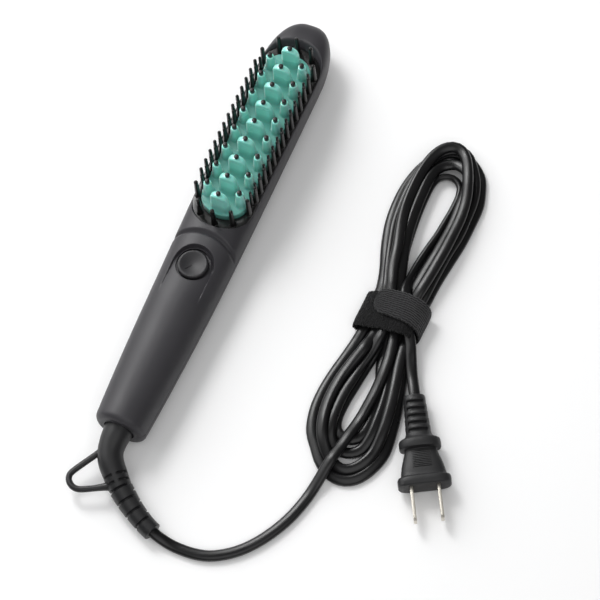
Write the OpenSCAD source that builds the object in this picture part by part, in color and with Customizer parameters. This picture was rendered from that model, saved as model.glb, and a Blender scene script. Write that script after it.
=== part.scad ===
// Hair straightening brush: a slim handle and head, with a heated finned plate
// between rows of fixed bristles, and a swivelling mains cord tied in a hank.
// The brush lies on its back along +Y with its head at +Y. Its middle is the
// origin, and z = 0 is the surface that it rests on. Sizes are in millimetres.

/* [Body] */
// Length from the tail face to the tip of the head
body_len = 230; // [228:1:234]
// Width at the bristle field
head_w = 33.3; // [33:0.1:34]
// Width at the tail face
tail_w = 25; // [24.8:0.1:25.6]
// Height of the handle
handle_h = 25; // [24.9:0.1:25.4]
// Extra height of the head over the handle
head_rise = 1.3; // [1.1:0.1:1.5]
// Wall thickness of the covers
wall = 2; // [1.9:0.05:2.1]
// Height of the seam between the back shell and the covers
seam_z = 13; // [12.8:0.1:13.2]
// Radius of the rounded tail edge
tail_round = 3; // [2.5:0.1:3.2]
// Radius of the arc where the handle cover meets the head cover
arc_r = 25.6; // [25.2:0.1:26]
// Width of the groove along that arc
groove_w = 1.3; // [1:0.1:1.5]

/* [Bristle field] */
// Distance of the field's centre from the middle of the brush
field_y = 46; // [45.8:0.1:46.2]
// Height of the rim that the bristle frame sits in
rim_z = 22; // [21.9:0.05:22.1]
// Half width of the bristle frame
frame_hw = 15.1; // [15:0.05:15.15]
// Half length of the bristle frame
frame_hl = 52.6; // [52.4:0.1:52.7]
// Half width of the heating plate
plate_hw = 11.6; // [11.4:0.05:11.65]
// Half length of the heating plate
plate_hl = 46.7; // [46.4:0.1:46.8]
// Height of the heating plate's face
plate_z = 25; // [24.6:0.1:25.2]
// Distance between the central fins
fin_pitch = 10.6; // [10.5:0.05:10.65]
// Width of a fin, across the brush
fin_w = 9.2; // [8.8:0.1:9.4]
// Thickness of a fin, along the brush
fin_t = 4.4; // [4:0.1:4.6]
// Height of a fin's top
fin_z = 37.7; // [37.4:0.1:37.9]
// Distance of the cones from the centre line
cone_x = 8.4; // [8.2:0.1:8.5]
// Height of a cone's top
cone_z = 34.7; // [34.4:0.1:35]
// Height of the bristle tips
bristle_z = 36; // [35:0.5:37]

/* [Power button] */
// Distance of the button from the middle of the brush, towards the tail
button_back = 28.6; // [28.4:0.1:28.8]
// Radius of the button cap
cap_r = 7.4; // [7.3:0.05:7.4]
// Height of the cap's face
cap_z = 24.8; // [24.6:0.1:25]
// Travel of the button
button_travel = 0.8; // [0.5:0.1:0.8]
// Radius of the thumb recess round the button
recess_r = 10; // [9.8:0.1:10.2]

/* [Cord and plug] */
// Width of the flat cord
cord_w = 5.4; // [5.2:0.1:5.4]
// Thickness of the flat cord
cord_t = 3.4; // [3.2:0.1:3.4]
// Outer radius of the cord boot at the tail
boot_r = 7; // [6.8:0.1:7]
// Distance between the two plug blades
blade_gap = 12.7; // [12.7:0.1:12.8]
// Length of a plug blade
blade_len = 16.5; // [16:0.1:17.5]
// Width of the strap that ties the hank
strap_w = 19; // [18:0.5:20]

/* [Hidden] */

charcoal = "#3b3a3e";
black = "#19191b";
mint = "#7cc8b4";
brass = "#b58f45";
steel = "#b9bcc0";

tail_y = -body_len / 2;
tip_y = body_len / 2;
dome_y = tip_y - 33;
flat_cut = 0.25;
around = 36;
axis_z = handle_h / 2;
button_y = -button_back;
arc_y = -12 - arc_r;
cavity_top = 19;
ledge_z = 20.6;
// Underside of the ring that guides the button and stops its flange
guide_z = 20.7;

// Smooth step from 0 to 1
function ease(t) = let (u = min(max(t, 0), 1)) u * u * (3 - 2 * u);
// How far a section has changed from the handle's form to the head's
function headness(y) = ease((y + 50) / 100);
// Fall of a half size from 1 at y0 to 0 at the tip, as a superellipse
function dome(y, y0, n) =
    let (t = min(max((y - y0) / (tip_y - y0), 0), 0.998)) pow(1 - pow(t, n), 1 / n);
function tail_inset(y) =
    let (d = tail_round - (y - tail_y)) d <= 0 ? 0 : tail_round - sqrt(tail_round * tail_round - d * d);
function half_w(y) =
    y < field_y
        ? head_w / 2 - (head_w - tail_w) / 2 * pow((field_y - y) / (field_y - tail_y), 2.7)
        : head_w / 2 * dome(y, dome_y, 2.3);
function mid_z(y) = axis_z + 2.5 * headness(y);
function upper_h(y) = (handle_h + head_rise * headness(y) - mid_z(y)) * dome(y, tip_y - 25, 2.5);
function lower_h(y) = (mid_z(y) + flat_cut - 1.5 * ease((y - 50) / 32)) * dome(y, dome_y, 2.3);
function upper_n(y) = 2.2 + 1.2 * headness(y);
lower_n = 2.3;

function power(c, n) = sign(c) * pow(abs(c), 2 / n);

// One section of the body, as a ring of points at y, set in by the given amount
function section(y, inset, sides) =
    let (i = inset + tail_inset(y))
    [for (k = [0:sides - 1])
        let (t = -360 * k / sides, up = sin(t) >= 0)
        [(half_w(y) - i) * power(cos(t), up ? upper_n(y) : lower_n),
         y,
         mid_z(y) + ((up ? upper_h(y) : lower_h(y)) - i) * power(sin(t), up ? upper_n(y) : lower_n)]];

// A closed solid through rings that have the same number of points
module skin(rings) {
    n = len(rings[0]);
    m = len(rings);
    polyhedron(
        points = [for (r = rings) each r],
        faces = concat(
            [[for (j = [0:n - 1]) j]],
            [[for (j = [n - 1:-1:0]) (m - 1) * n + j]],
            [for (i = [0:m - 2], j = [0:n - 1])
                let (a = i * n + j, b = i * n + (j + 1) % n) [a, a + n, b]],
            [for (i = [0:m - 2], j = [0:n - 1])
                let (a = i * n + j, b = i * n + (j + 1) % n) [b, a + n, b + n]]
        ),
        convexity = 6
    );
}

// Stations along the body: the tail's rounded edge, the grip and the dome
tail_stations = [for (a = [0:22.5:90]) tail_y + tail_round * (1 - cos(a))];
grip_stations = [for (y = [tail_y + 15:15:dome_y - 8]) y];
dome_stations = [for (a = [0:11.25:78.75]) dome_y + (tip_y - dome_y) * pow(sin(a), 2 / 2.3)];

stations = concat(tail_stations, grip_stations, dome_stations, [tip_y]);
module body_solid(y0, y1) {
    skin([for (y = stations) if (y >= y0 && y <= y1) section(y, 0, around)]);
}
// The same form set in from the surface, between two stations
module inner_solid(inset, y0, y1) {
    between = [for (y = grip_stations) if (y > y0 + 2 && y < y1 - 2) y];
    skin([for (y = concat([y0], between, [y1])) section(y, inset, 24)]);
}

// A block across the whole body between two stations and two heights
module slab(y0, y1, z0, z1) {
    translate([-30, y0, z0]) cube([60, y1 - y0, z1 - z0]);
}

// The hollow: full height in the handle, low under the bristle field
cavity_stations = concat(
    [tail_y + 3.1], grip_stations, [dome_y + 8, dome_y + 16, dome_y + 23, dome_y + 28, tip_y - 2.2]
);
module cavity(y0, y1) {
    difference() {
        skin([for (y = cavity_stations) if (y >= y0 && y <= y1) section(y, wall, 24)]);
        if (y1 > 0)
            slab(-9, tip_y, cavity_top, 40);
    }
}

// The part of the body on the handle's side of the arc
module handle_zone(r) {
    translate([0, arc_y, -1]) cylinder(r = r, h = 60, $fn = 96);
    slab(tail_y - 1, arc_y, -1, 59);
}

// Long oval outline round the field's centre: straight sides, elliptical ends
function oval(hw, hl, end) =
    [for (a = [0:11.25:348.75])
        [hw * cos(a), field_y + end * sin(a) + (a < 180 ? 1 : -1) * (hl - end)]];
module oval_prism(hw, hl, end, z0, z1) {
    translate([0, 0, z0]) linear_extrude(z1 - z0) polygon(oval(hw, hl, end));
}
function oval_ring(hw, hl, end, z) = [for (p = oval(hw, hl, end)) [p[0], p[1], z]];

// Screws that hold the shells: place, head height, and top of the thread
screw_places = [
    [0, -83, 5, 20], [0, -15.5, 5, 20],
    [-9.5, -4.5, 5, 19.5], [9.5, -4.5, 5, 19.5], [0, 104, 9, 21]
];

module screw(head_r, head_h, shank_r, shank_h) {
    difference() {
        union() {
            translate([0, 0, -head_h]) cylinder(r = head_r, h = head_h, $fn = 32);
            cylinder(r = shank_r, h = shank_h, $fn = 32);
        }
        for (a = [0, 90])
            rotate(a) translate([-head_r * 0.6, -0.25, -head_h - 0.1]) cube([head_r * 1.2, 0.5, 0.7]);
    }
}

// Ribs that hold the swivel bearing
module bearing_saddle() {
    difference() {
        inner_solid(wall / 2, -109, -106);
        translate([0, -110, axis_z]) rotate([-90, 0, 0]) cylinder(r = 9.85, h = 6, $fn = 64);
    }
}

// Holes through the tail wall for the swivel
module tail_hole() {
    translate([0, tail_y - 1, axis_z]) rotate([-90, 0, 0]) cylinder(r = boot_r + 0.6, h = 6, $fn = 64);
    translate([0, tail_y + 1.8, axis_z]) rotate([-90, 0, 0]) cylinder(r = 8.6, h = 3, $fn = 64);
}

board_posts = [for (x = [-7, 7], y = [-72, -22]) [x, y]];
insulation_posts = [for (x = [-6, 6], y = [12, 46, 80]) [x, y, y > 60 ? 2.6 : 1.2]];
board_z = 13;
sheet_z = 14.6;

module back_shell() color(charcoal) {
    difference() {
        union() {
            difference() {
                intersection() {
                    body_solid(tail_y, tip_y);
                    slab(tail_y - 1, tip_y + 1, 0, seam_z);
                }
                cavity(tail_y, tip_y);
            }
            for (i = [0, 1, 4])
                translate([screw_places[i][0], screw_places[i][1], i == 4 ? 5.4 : 0.8])
                    cylinder(r = 3.4, h = seam_z - (i == 4 ? 5.4 : 0.8), $fn = 32);
            intersection() {
                inner_solid(wall / 2, -14, 4);
                for (i = [2, 3])
                    translate([screw_places[i][0], screw_places[i][1], 0]) cylinder(r = 3.4, h = seam_z, $fn = 32);
            }
            for (p = board_posts)
                translate([p[0], p[1], 2]) cylinder(r = 2, h = board_z - 2, $fn = 24);
            for (p = insulation_posts)
                translate(p) cylinder(r = 1.5, h = sheet_z - p[2], $fn = 24);
            intersection() {
                bearing_saddle();
                slab(-112, -100, 0, seam_z);
            }
            for (x = [-1, 1])
                translate([x * 6.6 - 1.4, -97, 1.8]) cube([2.8, 9, 6.2]);
        }
        tail_hole();
        for (s = screw_places)
            translate([s[0], s[1], -1]) {
                cylinder(r = 2.4, h = s[2] + 1, $fn = 32);
                cylinder(r = 1.35, h = 30, $fn = 32);
            }
        for (p = board_posts)
            translate([p[0], p[1], 7]) cylinder(r = 0.9, h = 10, $fn = 24);
        for (x = [-1, 1], y = [-96, -91.5])
            translate([x * 6.2 - 0.25, y, 3]) cube([0.5, 1.8, 8]);
    }
}

// Bosses that take the shell screws, on the covers' side of the seam
module cover_bosses(from, to) {
    for (i = [from:to])
        translate([screw_places[i][0], screw_places[i][1], seam_z])
            cylinder(r = 2.8, h = i < 2 ? 10.5 : cavity_top - seam_z + 0.6, $fn = 32);
}
module cover_threads(from, to) {
    for (i = [from:to])
        translate([screw_places[i][0], screw_places[i][1], seam_z - 1])
            cylinder(r = 1.05, h = screw_places[i][3] - seam_z + 1.5, $fn = 32);
}

// Outline of the thumb recess: a half round with straight sides
module recess_prism() {
    translate([0, button_y, 18]) cylinder(r = recess_r, h = 12, $fn = 64);
    translate([-recess_r, -48, 18]) cube([2 * recess_r, 48 + button_y, 12]);
}
// The recess's floor is the body's own surface, sinking steadily towards the head
recess_end = 46;
module recess_cut() {
    difference() {
        recess_prism();
        skin([for (y = grip_stations) if (y > -60 && y < 0) section(y, (y + recess_end) * 0.042, around)]);
    }
}

module handle_cover() color(charcoal) {
    difference() {
        union() {
            difference() {
                union() {
                    intersection() {
                        body_solid(tail_y, -10);
                        handle_zone(arc_r - groove_w / 2);
                        slab(tail_y - 1, 0, seam_z, 40);
                    }
                    intersection() {
                        inner_solid(0.8, -40, -6);
                        handle_zone(arc_r + groove_w / 2 - 0.1);
                        slab(-35, 0, seam_z, 40);
                    }
                }
                cavity(tail_y, -5);
            }
            cover_bosses(0, 1);
            intersection() {
                bearing_saddle();
                slab(-112, -100, seam_z, 40);
            }
            intersection() {
                inner_solid(1.4, -42, -14);
                translate([0, button_y, guide_z]) cylinder(r = 9.6, h = 8, $fn = 64);
            }
        }
        recess_cut();
        translate([0, button_y, 23.2]) cylinder(r = cap_r + 0.65, h = 5, $fn = 64);
        translate([0, button_y, 18]) cylinder(r = cap_r + 0.08, h = 8, $fn = 64);
        cover_threads(0, 1);
        tail_hole();
    }
}

module head_cover() color(charcoal) {
    difference() {
        union() {
            difference() {
                intersection() {
                    body_solid(-30, tip_y);
                    slab(-30, tip_y + 1, seam_z, 40);
                }
                handle_zone(arc_r + groove_w / 2);
                cavity(-30, tip_y);
            }
            cover_bosses(2, 4);
        }
        oval_prism(13.5, 51.1, 11, seam_z + 3, 40);
        oval_prism(frame_hw + 0.15, frame_hl + 0.15, 12.55, ledge_z, rim_z + 1);
        skin([
            oval_ring(frame_hw, frame_hl, 12.4, rim_z - 0.1),
            oval_ring(frame_hw + 5, frame_hl + 9.5, 17, rim_z + 5)
        ]);
        cover_threads(2, 4);
    }
}

module shell_screws() color(steel) {
    for (s = screw_places)
        translate([s[0], s[1], s[2]]) screw(2.2, 1.6, 1, s[3] - s[2]);
}

// Bristles: thin outer row, staggered thin inner row, and thick ones at the ends
bristle_step = fin_pitch / 2;
outer_bristles = [for (s = [-1, 1], k = [-6:6]) [s * 14, field_y + k * bristle_step]];
inner_bristles = [for (s = [-1, 1], k = [-7:6]) [s * 12.7, field_y + (k + 0.5) * bristle_step]];
end_bristles = [
    for (s = [-1, 1], e = [-1, 1]) each [[s * 13.4, field_y + e * 39.2], [s * 8.5, field_y + e * 47.6]],
    for (e = [-1, 1]) [0, field_y + e * 50.6]
];

module bristle(r0, r1, top) {
    cylinder(r1 = r0, r2 = r1, h = top - r1, $fn = 16);
    translate([0, 0, top - r1]) sphere(r = r1, $fn = 16);
}

module bristle_frame() color(black) {
    difference() {
        oval_prism(frame_hw, frame_hl, 12.4, ledge_z, rim_z);
        oval_prism(plate_hw + 0.3, plate_hl + 0.3, 9.4, ledge_z - 1, rim_z + 1);
    }
    for (p = outer_bristles)
        translate([p[0], p[1], rim_z - 0.6]) bristle(0.85, 0.55, bristle_z - rim_z + 0.6);
    for (p = inner_bristles)
        translate([p[0], p[1], rim_z - 0.6]) bristle(0.65, 0.5, bristle_z - rim_z - 0.4);
    for (p = end_bristles)
        translate([p[0], p[1], rim_z - 0.6]) bristle(1.15, 0.85, bristle_z - rim_z + 0.6);
}

fin_places = [for (k = [-4:4]) field_y + k * fin_pitch];
cone_places = [for (s = [-1, 1], k = [-4:3]) [s * cone_x, field_y + (k + 0.5) * fin_pitch]];

// A fin: rounded plan, arched top seen from the tail, and softened top edges
module fin() {
    foot = plate_z - 1;
    arch = 4.2;
    intersection() {
        translate([0, 0, foot]) linear_extrude(20) union() {
            square([fin_w - fin_t, fin_t], center = true);
            for (s = [-1, 1])
                translate([s * (fin_w - fin_t) / 2, 0]) circle(r = fin_t / 2, $fn = 32);
        }
        translate([0, 5, 0]) rotate([90, 0, 0]) linear_extrude(10) polygon(concat(
            [[-fin_w, foot], [fin_w, foot]],
            [for (a = [0:15:180]) [fin_w / 2 * cos(a), fin_z - arch + arch * sin(a)]]
        ));
        translate([-8, 0, 0]) rotate([90, 0, 90]) linear_extrude(16) polygon([
            [-fin_t / 2 - 0.2, foot], [fin_t / 2 + 0.2, foot],
            [fin_t / 2 + 0.1, fin_z - 3], [fin_t / 2 - 0.5, fin_z - 1], [fin_t / 2 - 1.1, fin_z + 0.1],
            [-fin_t / 2 + 1.1, fin_z + 0.1], [-fin_t / 2 + 0.5, fin_z - 1], [-fin_t / 2 - 0.1, fin_z - 3]
        ]);
    }
}

module heating_plate() color(mint) {
    difference() {
        union() {
            oval_prism(plate_hw, plate_hl, 9.2, 20, plate_z - 0.6);
            skin([
                oval_ring(plate_hw, plate_hl, 9.2, plate_z - 0.7),
                oval_ring(plate_hw, plate_hl, 9.2, plate_z - 0.5),
                oval_ring(plate_hw - 0.5, plate_hl - 0.5, 8.7, plate_z)
            ]);
            oval_prism(12.6, plate_hl + 1, 10, 18.6, 20.3);
            for (y = fin_places)
                translate([0, y, 0]) fin();
            for (p = cone_places)
                translate([p[0], p[1], plate_z - 1]) cylinder(r1 = 2.7, r2 = 1.85, h = cone_z - plate_z + 1, $fn = 32);
        }
        translate([-6.7, field_y - 36.4, 17]) cube([13.4, 72.8, 5.4]);
        for (s = [-1, 1])
            translate([s * 4 - 1.1, -4, 17]) cube([2.2, 15, 3.6]);
        for (y = fin_places)
            translate([0, y, 35.3]) cylinder(r = 1, h = 6, $fn = 24);
        for (p = cone_places)
            translate([p[0], p[1], 32.4]) cylinder(r = 1.1, h = 6, $fn = 24);
        for (e = [-1, 1])
            translate([0, field_y + e * 41, 17]) cylinder(r = 1.05, h = 5.5, $fn = 24);
    }
}

// A rounded black tip, seated in a blind hole
module tip(r, z0, z1) {
    translate([0, 0, z0]) cylinder(r = r, h = z1 - z0 - r, $fn = 24);
    translate([0, 0, z1 - r]) sphere(r = r, $fn = 24);
}
module fin_tips() color(black) {
    for (y = fin_places)
        translate([0, y, 0]) tip(0.95, 35.3, 39);
}
module cone_tips() color(black) {
    for (p = cone_places)
        translate([p[0], p[1], 0]) tip(1.05, 32.4, 36.5);
}

module ptc_heater() color(steel) {
    translate([-6.5, field_y - 36, 18.5]) cube([13, 72, 3.8]);
}
module heater_clamp() color(steel) {
    difference() {
        union() {
            translate([-8.2, field_y - 44, 17.6]) cube([16.4, 88, 0.8]);
            for (s = [-1, 1])
                translate([s * 7.8 - 0.4, field_y - 36, 16.4]) cube([0.8, 72, 1.4]);
        }
        for (e = [-1, 1])
            translate([0, field_y + e * 41, 16]) cylinder(r = 1.3, h = 4, $fn = 24);
    }
}
module clamp_screws() color(steel) {
    for (e = [-1, 1])
        translate([0, field_y + e * 41, 17.6]) screw(2.1, 1.4, 1, 4.6);
}
module insulation_sheet() color("#c9b48a") {
    translate([-8.4, field_y - 45, sheet_z]) cube([16.8, 90, 0.6]);
}
module thermistor() color("#6a4a2a") {
    translate([0, field_y - 20, 16.6]) scale([1, 1.6, 1]) sphere(r = 0.95, $fn = 24);
}
module thermal_fuse() color(steel) {
    translate([4, field_y - 5, 16.6]) rotate([-90, 0, 0]) cylinder(r = 0.95, h = 10, $fn = 24);
}

module heater_wires() color("white") {
    for (s = [-1, 1])
        tube([[s * 4, 9.9, 19.4], [s * 4, 3, 19.4], [s * 4, -0.5, 18.6], [s * 4, -3.5, 16], [s * 4.2, -7.5, 13],
              [s * 5, -12, 12.4], [s * 5.6, -17, 14.8], [s * 5, -19.5, 15.7], [s * 4, -21.5, 15.6],
              [s * 4, -24.5, 15.5]], 0.8, 0.8, 8);
}

module circuit_board() color("#1f5f3a") {
    difference() {
        translate([-9.5, -78, board_z]) cube([19, 58, 1.6]);
        for (p = board_posts)
            translate([p[0], p[1], board_z - 1]) cylinder(r = 1.1, h = 4, $fn = 24);
    }
}
module board_screws() color(steel) {
    for (p = board_posts)
        translate([p[0], p[1], board_z + 1.6]) mirror([0, 0, 1]) screw(1.8, 1.1, 0.85, 6.5);
}
module triac() color(black) {
    translate([-8, -64, board_z + 1.6]) cube([4.4, 10, 5.4]);
    for (i = [-1:1])
        translate([-5.8, -59 + 2.5 * i, board_z + 1.2]) cylinder(r = 0.4, h = 1, $fn = 16);
}
module film_capacitor() color("#a33a2a") {
    translate([1.5, -64, board_z + 1.6]) cube([6, 12, 5.8]);
}
module tactile_switch() color(black) {
    difference() {
        translate([-3, button_y - 3, board_z + 1.6]) cube([6, 6, 3.6]);
        translate([0, button_y, board_z + 3.2]) cylinder(r = 1.8, h = 4, $fn = 32);
    }
}
module switch_plunger() color(steel) {
    translate([0, button_y, board_z + 3.4 + button_travel]) cylinder(r = 1.75, h = 3.2 - button_travel, $fn = 32);
}

// Button cap: skirt, retaining flange, and a shallow dish in its face
module power_button() color(charcoal) {
    flange_z = 19.6;
    difference() {
        translate([0, button_y, 0]) rotate_extrude($fn = 96) polygon(concat(
            [[0, flange_z], [8.7, flange_z], [8.7, flange_z + 1], [cap_r, flange_z + 1]],
            [for (a = [0:15:90]) [cap_r - 0.9 + 0.9 * cos(a), cap_z - 1.1 + 0.9 * sin(a)]],
            [for (i = [4:-1:0]) [5.2 * i / 4, cap_z - 0.2 - 0.45 * (1 - pow(i / 4, 2))]]
        ));
        translate([0, button_y, cap_z - 0.75]) rotate(-57) translate([0, -0.15, 0]) cube([6.2, 0.3, 1]);
    }
}

module mains_wires() color("white") {
    for (s = [-1, 1])
        tube([[s * 7.3, -91, 9.5], [s * 7.6, -88, 9.5], [s * 7.2, -84, 11], [s * 6, -80.5, 14.6],
              [s * 4.6, -77.5, 15.7], [s * 4, -74.5, 15.4], [s * 4, -70, 15.4]], 0.7, 0.7, 8);
}
module contact_springs() color(brass) {
    for (x = [-1, 1], y = [-95.9, -91.4])
        translate([x * 6.2 - 0.2, y, 3.05]) cube([0.4, 1.6, 12]);
}
module tail_bearing() color("#d8d8d2") {
    translate([0, -111.6, axis_z]) rotate([-90, 0, 0]) difference() {
        cylinder(r = 9.8, h = 10.6, $fn = 64);
        translate([0, 0, -1]) cylinder(r = 7.05, h = 13, $fn = 64);
    }
}

// Swivel sleeve: flange outside the bearing, groove for the clip, nose for the rings
module swivel_sleeve() color(black) {
    translate([0, 0, axis_z]) rotate([-90, 0, 0]) difference() {
        union() {
            translate([0, 0, -113]) cylinder(r = 8.2, h = 1.1, $fn = 64);
            translate([0, 0, -113]) cylinder(r = 7, h = 16, $fn = 64);
            translate([0, 0, -98]) cylinder(r = 4.6, h = 10, $fn = 64);
        }
        translate([0, 0, -100.4]) difference() {
            cylinder(r = 8, h = 1, $fn = 64);
            translate([0, 0, -1]) cylinder(r = 6.2, h = 3, $fn = 64);
        }
        translate([0, 0, -114]) cylinder(r = 4.2, h = 12, $fn = 48);
        translate([0, 0, -103]) cylinder(r = 3, h = 20, $fn = 48);
    }
}
module contact_rings() color(brass) {
    for (y = [-96.1, -91.6])
        translate([0, y, axis_z]) rotate([-90, 0, 0]) difference() {
            cylinder(r = 5.5, h = 2, $fn = 64);
            translate([0, 0, -1]) cylinder(r = 4.6, h = 4, $fn = 64);
        }
}
module retainer_clip() color(steel) {
    translate([0, -100.3, axis_z]) rotate([-90, 0, 0]) difference() {
        cylinder(r = 8.6, h = 0.8, $fn = 64);
        translate([0, 0, -1]) cylinder(r = 6.25, h = 3, $fn = 64);
        translate([-1.5, 0, -1]) cube([3, 10, 3]);
    }
}

// Smooth curve through hand-chosen points, with k steps to each stretch
function spline(p, k) = concat(
    [for (i = [0:len(p) - 2], j = [0:k - 1])
        let (t = j / k, a = p[max(i - 1, 0)], b = p[i], c = p[i + 1], d = p[min(i + 2, len(p) - 1)])
        0.5 * (2 * b + (c - a) * t + (2 * a - 5 * b + 4 * c - d) * t * t + (3 * b - a - 3 * c + d) * t * t * t)],
    [p[len(p) - 1]]
);
function unit(v) = v / norm(v);
function heading(p, i) = unit(p[min(i + 1, len(p) - 1)] - p[max(i - 1, 0)]);
// An oval ring across a path at point i: half width a to the sides, half height b
function ring_across(p, i, a, b, sides) =
    let (t = heading(p, i), s = unit(cross(t, [0, 0, 1])), u = cross(s, t))
    [for (k = [0:sides - 1]) p[i] + s * a * cos(360 * k / sides) - u * b * sin(360 * k / sides)];
module tube(p, a, b, sides) {
    skin([for (i = [0:len(p) - 1]) ring_across(p, i, a, b, sides)]);
}

boot_path = spline([
    [0, -113.1, 12.5], [-0.2, -118, 12.1], [-0.1, -122, 11.5], [0.6, -126, 10.8], [2.6, -130, 10],
    [6.2, -134, 9.1], [11, -138.9, 8], [15, -142.1, 7.2], [19.5, -145.3, 6.4], [24.6, -148.4, 5.7],
    [29.5, -150.9, 5.1], [33.8, -152.7, 4.7]
], 4);
boot_last = len(boot_path) - 1;
ribs_from = 0.46;
// Radius along the boot: thick at the tail, slimming to the last rib
function boot_radius(u) = boot_r - 0.9 * ease(u / 0.25) - 2.05 * ease((u - 0.25) / 0.75);
// Grooves between the ribs: one point in four of the path is cut in
function boot_groove(i) = i > ribs_from * boot_last && i < boot_last - 1 && i % 4 == 2 ? 0.75 : 0;
loop_path = spline([
    [-2.5, -126, 9.8], [-6.2, -129.4, 9], [-9.5, -134.6, 8.3], [-12, -140, 8], [-12.5, -144.3, 8],
    [-10.6, -146.9, 8], [-6.5, -147.3, 8], [-2.5, -146.1, 8], [1.2, -144.1, 8], [7.5, -139.8, 8]
], 2);

module cord_boot() color(black) {
    union() {
        skin([for (i = [0:boot_last])
            let (r = boot_radius(i / boot_last) - boot_groove(i))
            ring_across(boot_path, i, r, r, 16)]);
        tube(loop_path, 1.4, 1.4, 8);
        translate([0, -113.2, axis_z]) rotate([90, 0, 0]) translate([0, 0, -8]) cylinder(r = 4.15, h = 8.5, $fn = 48);
    }
}

// The cord's route from the boot to the hank, and from the hank to the plug
lead_path = spline([
    [33.8, -152.7, 4.7], [39, -153.9, 3.4], [46, -154.6, 2.2], [55, -154.3, 1.8], [63, -152.2, 1.8],
    [71, -147.3, 1.8], [77.5, -141, 1.8], [83.5, -132.5, 1.8], [88.5, -122.5, 2.2], [92, -112, 3.8],
    [94.4, -103, 5.4], [95.4, -98.2, 6.2]
], 2);
tail_path = spline([[109, -23.5, 5.4], [111.2, -28.6, 5.6], [113.6, -33.5, 5.9], [116, -38.4, 6.1], [119.2, -43.9, 6.4]], 2);
module cord_lead() color(black) {
    tube(lead_path, cord_w / 2, cord_t / 2, 8);
}
module cord_tail() color(black) {
    tube(tail_path, cord_w / 2, cord_t / 2, 8);
}

// The hank's outline, round its two loops and in at the strap
hank_outline = [
    [79.5, -12], [79, 10], [73, 31], [71, 48], [74.5, 72], [84, 87], [95, 87], [106, 76],
    [111.5, 62], [112, 45], [109, 25], [107.5, 4], [108, -12], [109, -24], [113, -44], [118.5, -63],
    [119.5, -79], [112, -94], [98, -98], [86, -90], [76, -73], [73.8, -57], [76.5, -38]
];
function closed_spline(p, k) =
    let (n = len(p))
    [for (i = [0:n - 1], j = [0:k - 1])
        let (t = j / k, a = p[(i + n - 1) % n], b = p[i], c = p[(i + 1) % n], d = p[(i + 2) % n])
        0.5 * (2 * b + (c - a) * t + (2 * a - 5 * b + 4 * c - d) * t * t + (3 * b - a - 3 * c + d) * t * t * t)];
hank_top = 11;
strap_y = -12.5;

// The strap's outer form: a band round the neck of the hank
module strap_block(grow, lift) {
    translate([93.7, strap_y + strap_w / 2, 7]) rotate([90, 0, 0]) linear_extrude(strap_w)
        polygon([for (a = [0:15:345])
            [(16.4 - grow) * power(cos(a), 3.2), (7 - lift) * power(sin(a), 3.2)]]);
}
module cord_hank() color(black) {
    difference() {
        linear_extrude(hank_top) polygon(closed_spline(hank_outline, 3));
        difference() {
            translate([70, strap_y - strap_w / 2, -1]) cube([50, strap_w, 20]);
            strap_block(1.6, 1.6);
        }
    }
}
module hank_strap() color("#222224") {
    difference() {
        strap_block(0, 0);
        translate([0, 0.5, 0]) strap_block(1.6, 1.6);
        translate([0, -0.5, 0]) strap_block(1.6, 1.6);
    }
}

// The plug's frame: origin on its face between the blades, -Y out of the blades
module at_plug() {
    translate([142.2, -85.4, 6.4]) rotate(29) children();
}
function plug_ring(s, hw, hh, n) =
    [for (k = [0:19]) let (t = -360 * k / 20) [hw * power(cos(t), n), s, hh * power(sin(t), n)]];
// Stations back from the face: distance, half width, half height, squareness
plug_stations = [
    [0, 11.6, 5.2, 3.6], [0.7, 12.4, 6, 3.6], [4.6, 12.5, 6.1, 3.6], [5.6, 11.6, 5.5, 3.2], [6.4, 10.6, 5, 3],
    [13, 9.3, 4.9, 3], [20.4, 7.6, 4.9, 2.8], [21.4, 9.1, 5.8, 2.4], [22.4, 9.8, 6.2, 2.4], [26.4, 9.8, 6.2, 2.4],
    [27.8, 8.6, 5.8, 2.4], [28.6, 6.1, 5, 2.2]
];
relief_ribs = [for (k = [0:4]) let (s = 30 + 3.2 * k, f = 1 - k * 0.055)
    each [[s, 6 * f, 4.9 * f, 2.2], [s + 1.3, 6 * f, 4.9 * f, 2.2], [s + 1.7, 5.1 * f, 4.1 * f, 2.2],
          [s + 2.8, 5 * f, 4.1 * f, 2.2]]];
relief_end = [[46.2, 4.7, 3.8, 2.2], [47.6, 4.5, 3.6, 2.2]];

module plug_body() color(black) {
    at_plug() difference() {
        skin([for (q = concat(plug_stations, relief_ribs, relief_end)) plug_ring(q[0], q[1], q[2], q[3])]);
        for (s = [-1, 1])
            translate([s * blade_gap / 2 - 0.78, -1, -3.2]) cube([1.56, 11, 6.4]);
    }
}
module plug_blades() color(steel) {
    at_plug() for (s = [-1, 1])
        translate([s * blade_gap / 2 - 0.75, -blade_len, -3.17]) difference() {
            cube([1.5, blade_len + 9.5, 6.34]);
            translate([-1, 3.4, 3.17]) rotate([0, 90, 0]) cylinder(r = 1.2, h = 4, $fn = 24);
        }
}

back_shell();
handle_cover();
head_cover();
shell_screws();
bristle_frame();
heating_plate();
fin_tips();
cone_tips();
ptc_heater();
heater_clamp();
clamp_screws();
insulation_sheet();
thermistor();
thermal_fuse();
heater_wires();
circuit_board();
board_screws();
triac();
film_capacitor();
tactile_switch();
switch_plunger();
power_button();
mains_wires();
contact_springs();
tail_bearing();
swivel_sleeve();
contact_rings();
retainer_clip();
cord_boot();
cord_lead();
cord_hank();
cord_tail();
hank_strap();
plug_body();
plug_blades();
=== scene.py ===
# %% [markdown]
# # A hair straightening brush with its cord tied in a hank
# The brush lies on its back on a pale table: a slim charcoal body, a mint heated plate with
# fins and cones between rows of black bristles, and a flat black mains cord.
# The construction model gives the frame: where each piece is and how it moves. This lesson
# dresses it, piece by piece. The numbers below are millimetres in the brush's own frame:
# +Y runs from the cord towards the head's tip, +Z is up, and z = 0 is the table.

# %% Load the frame
import math

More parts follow.
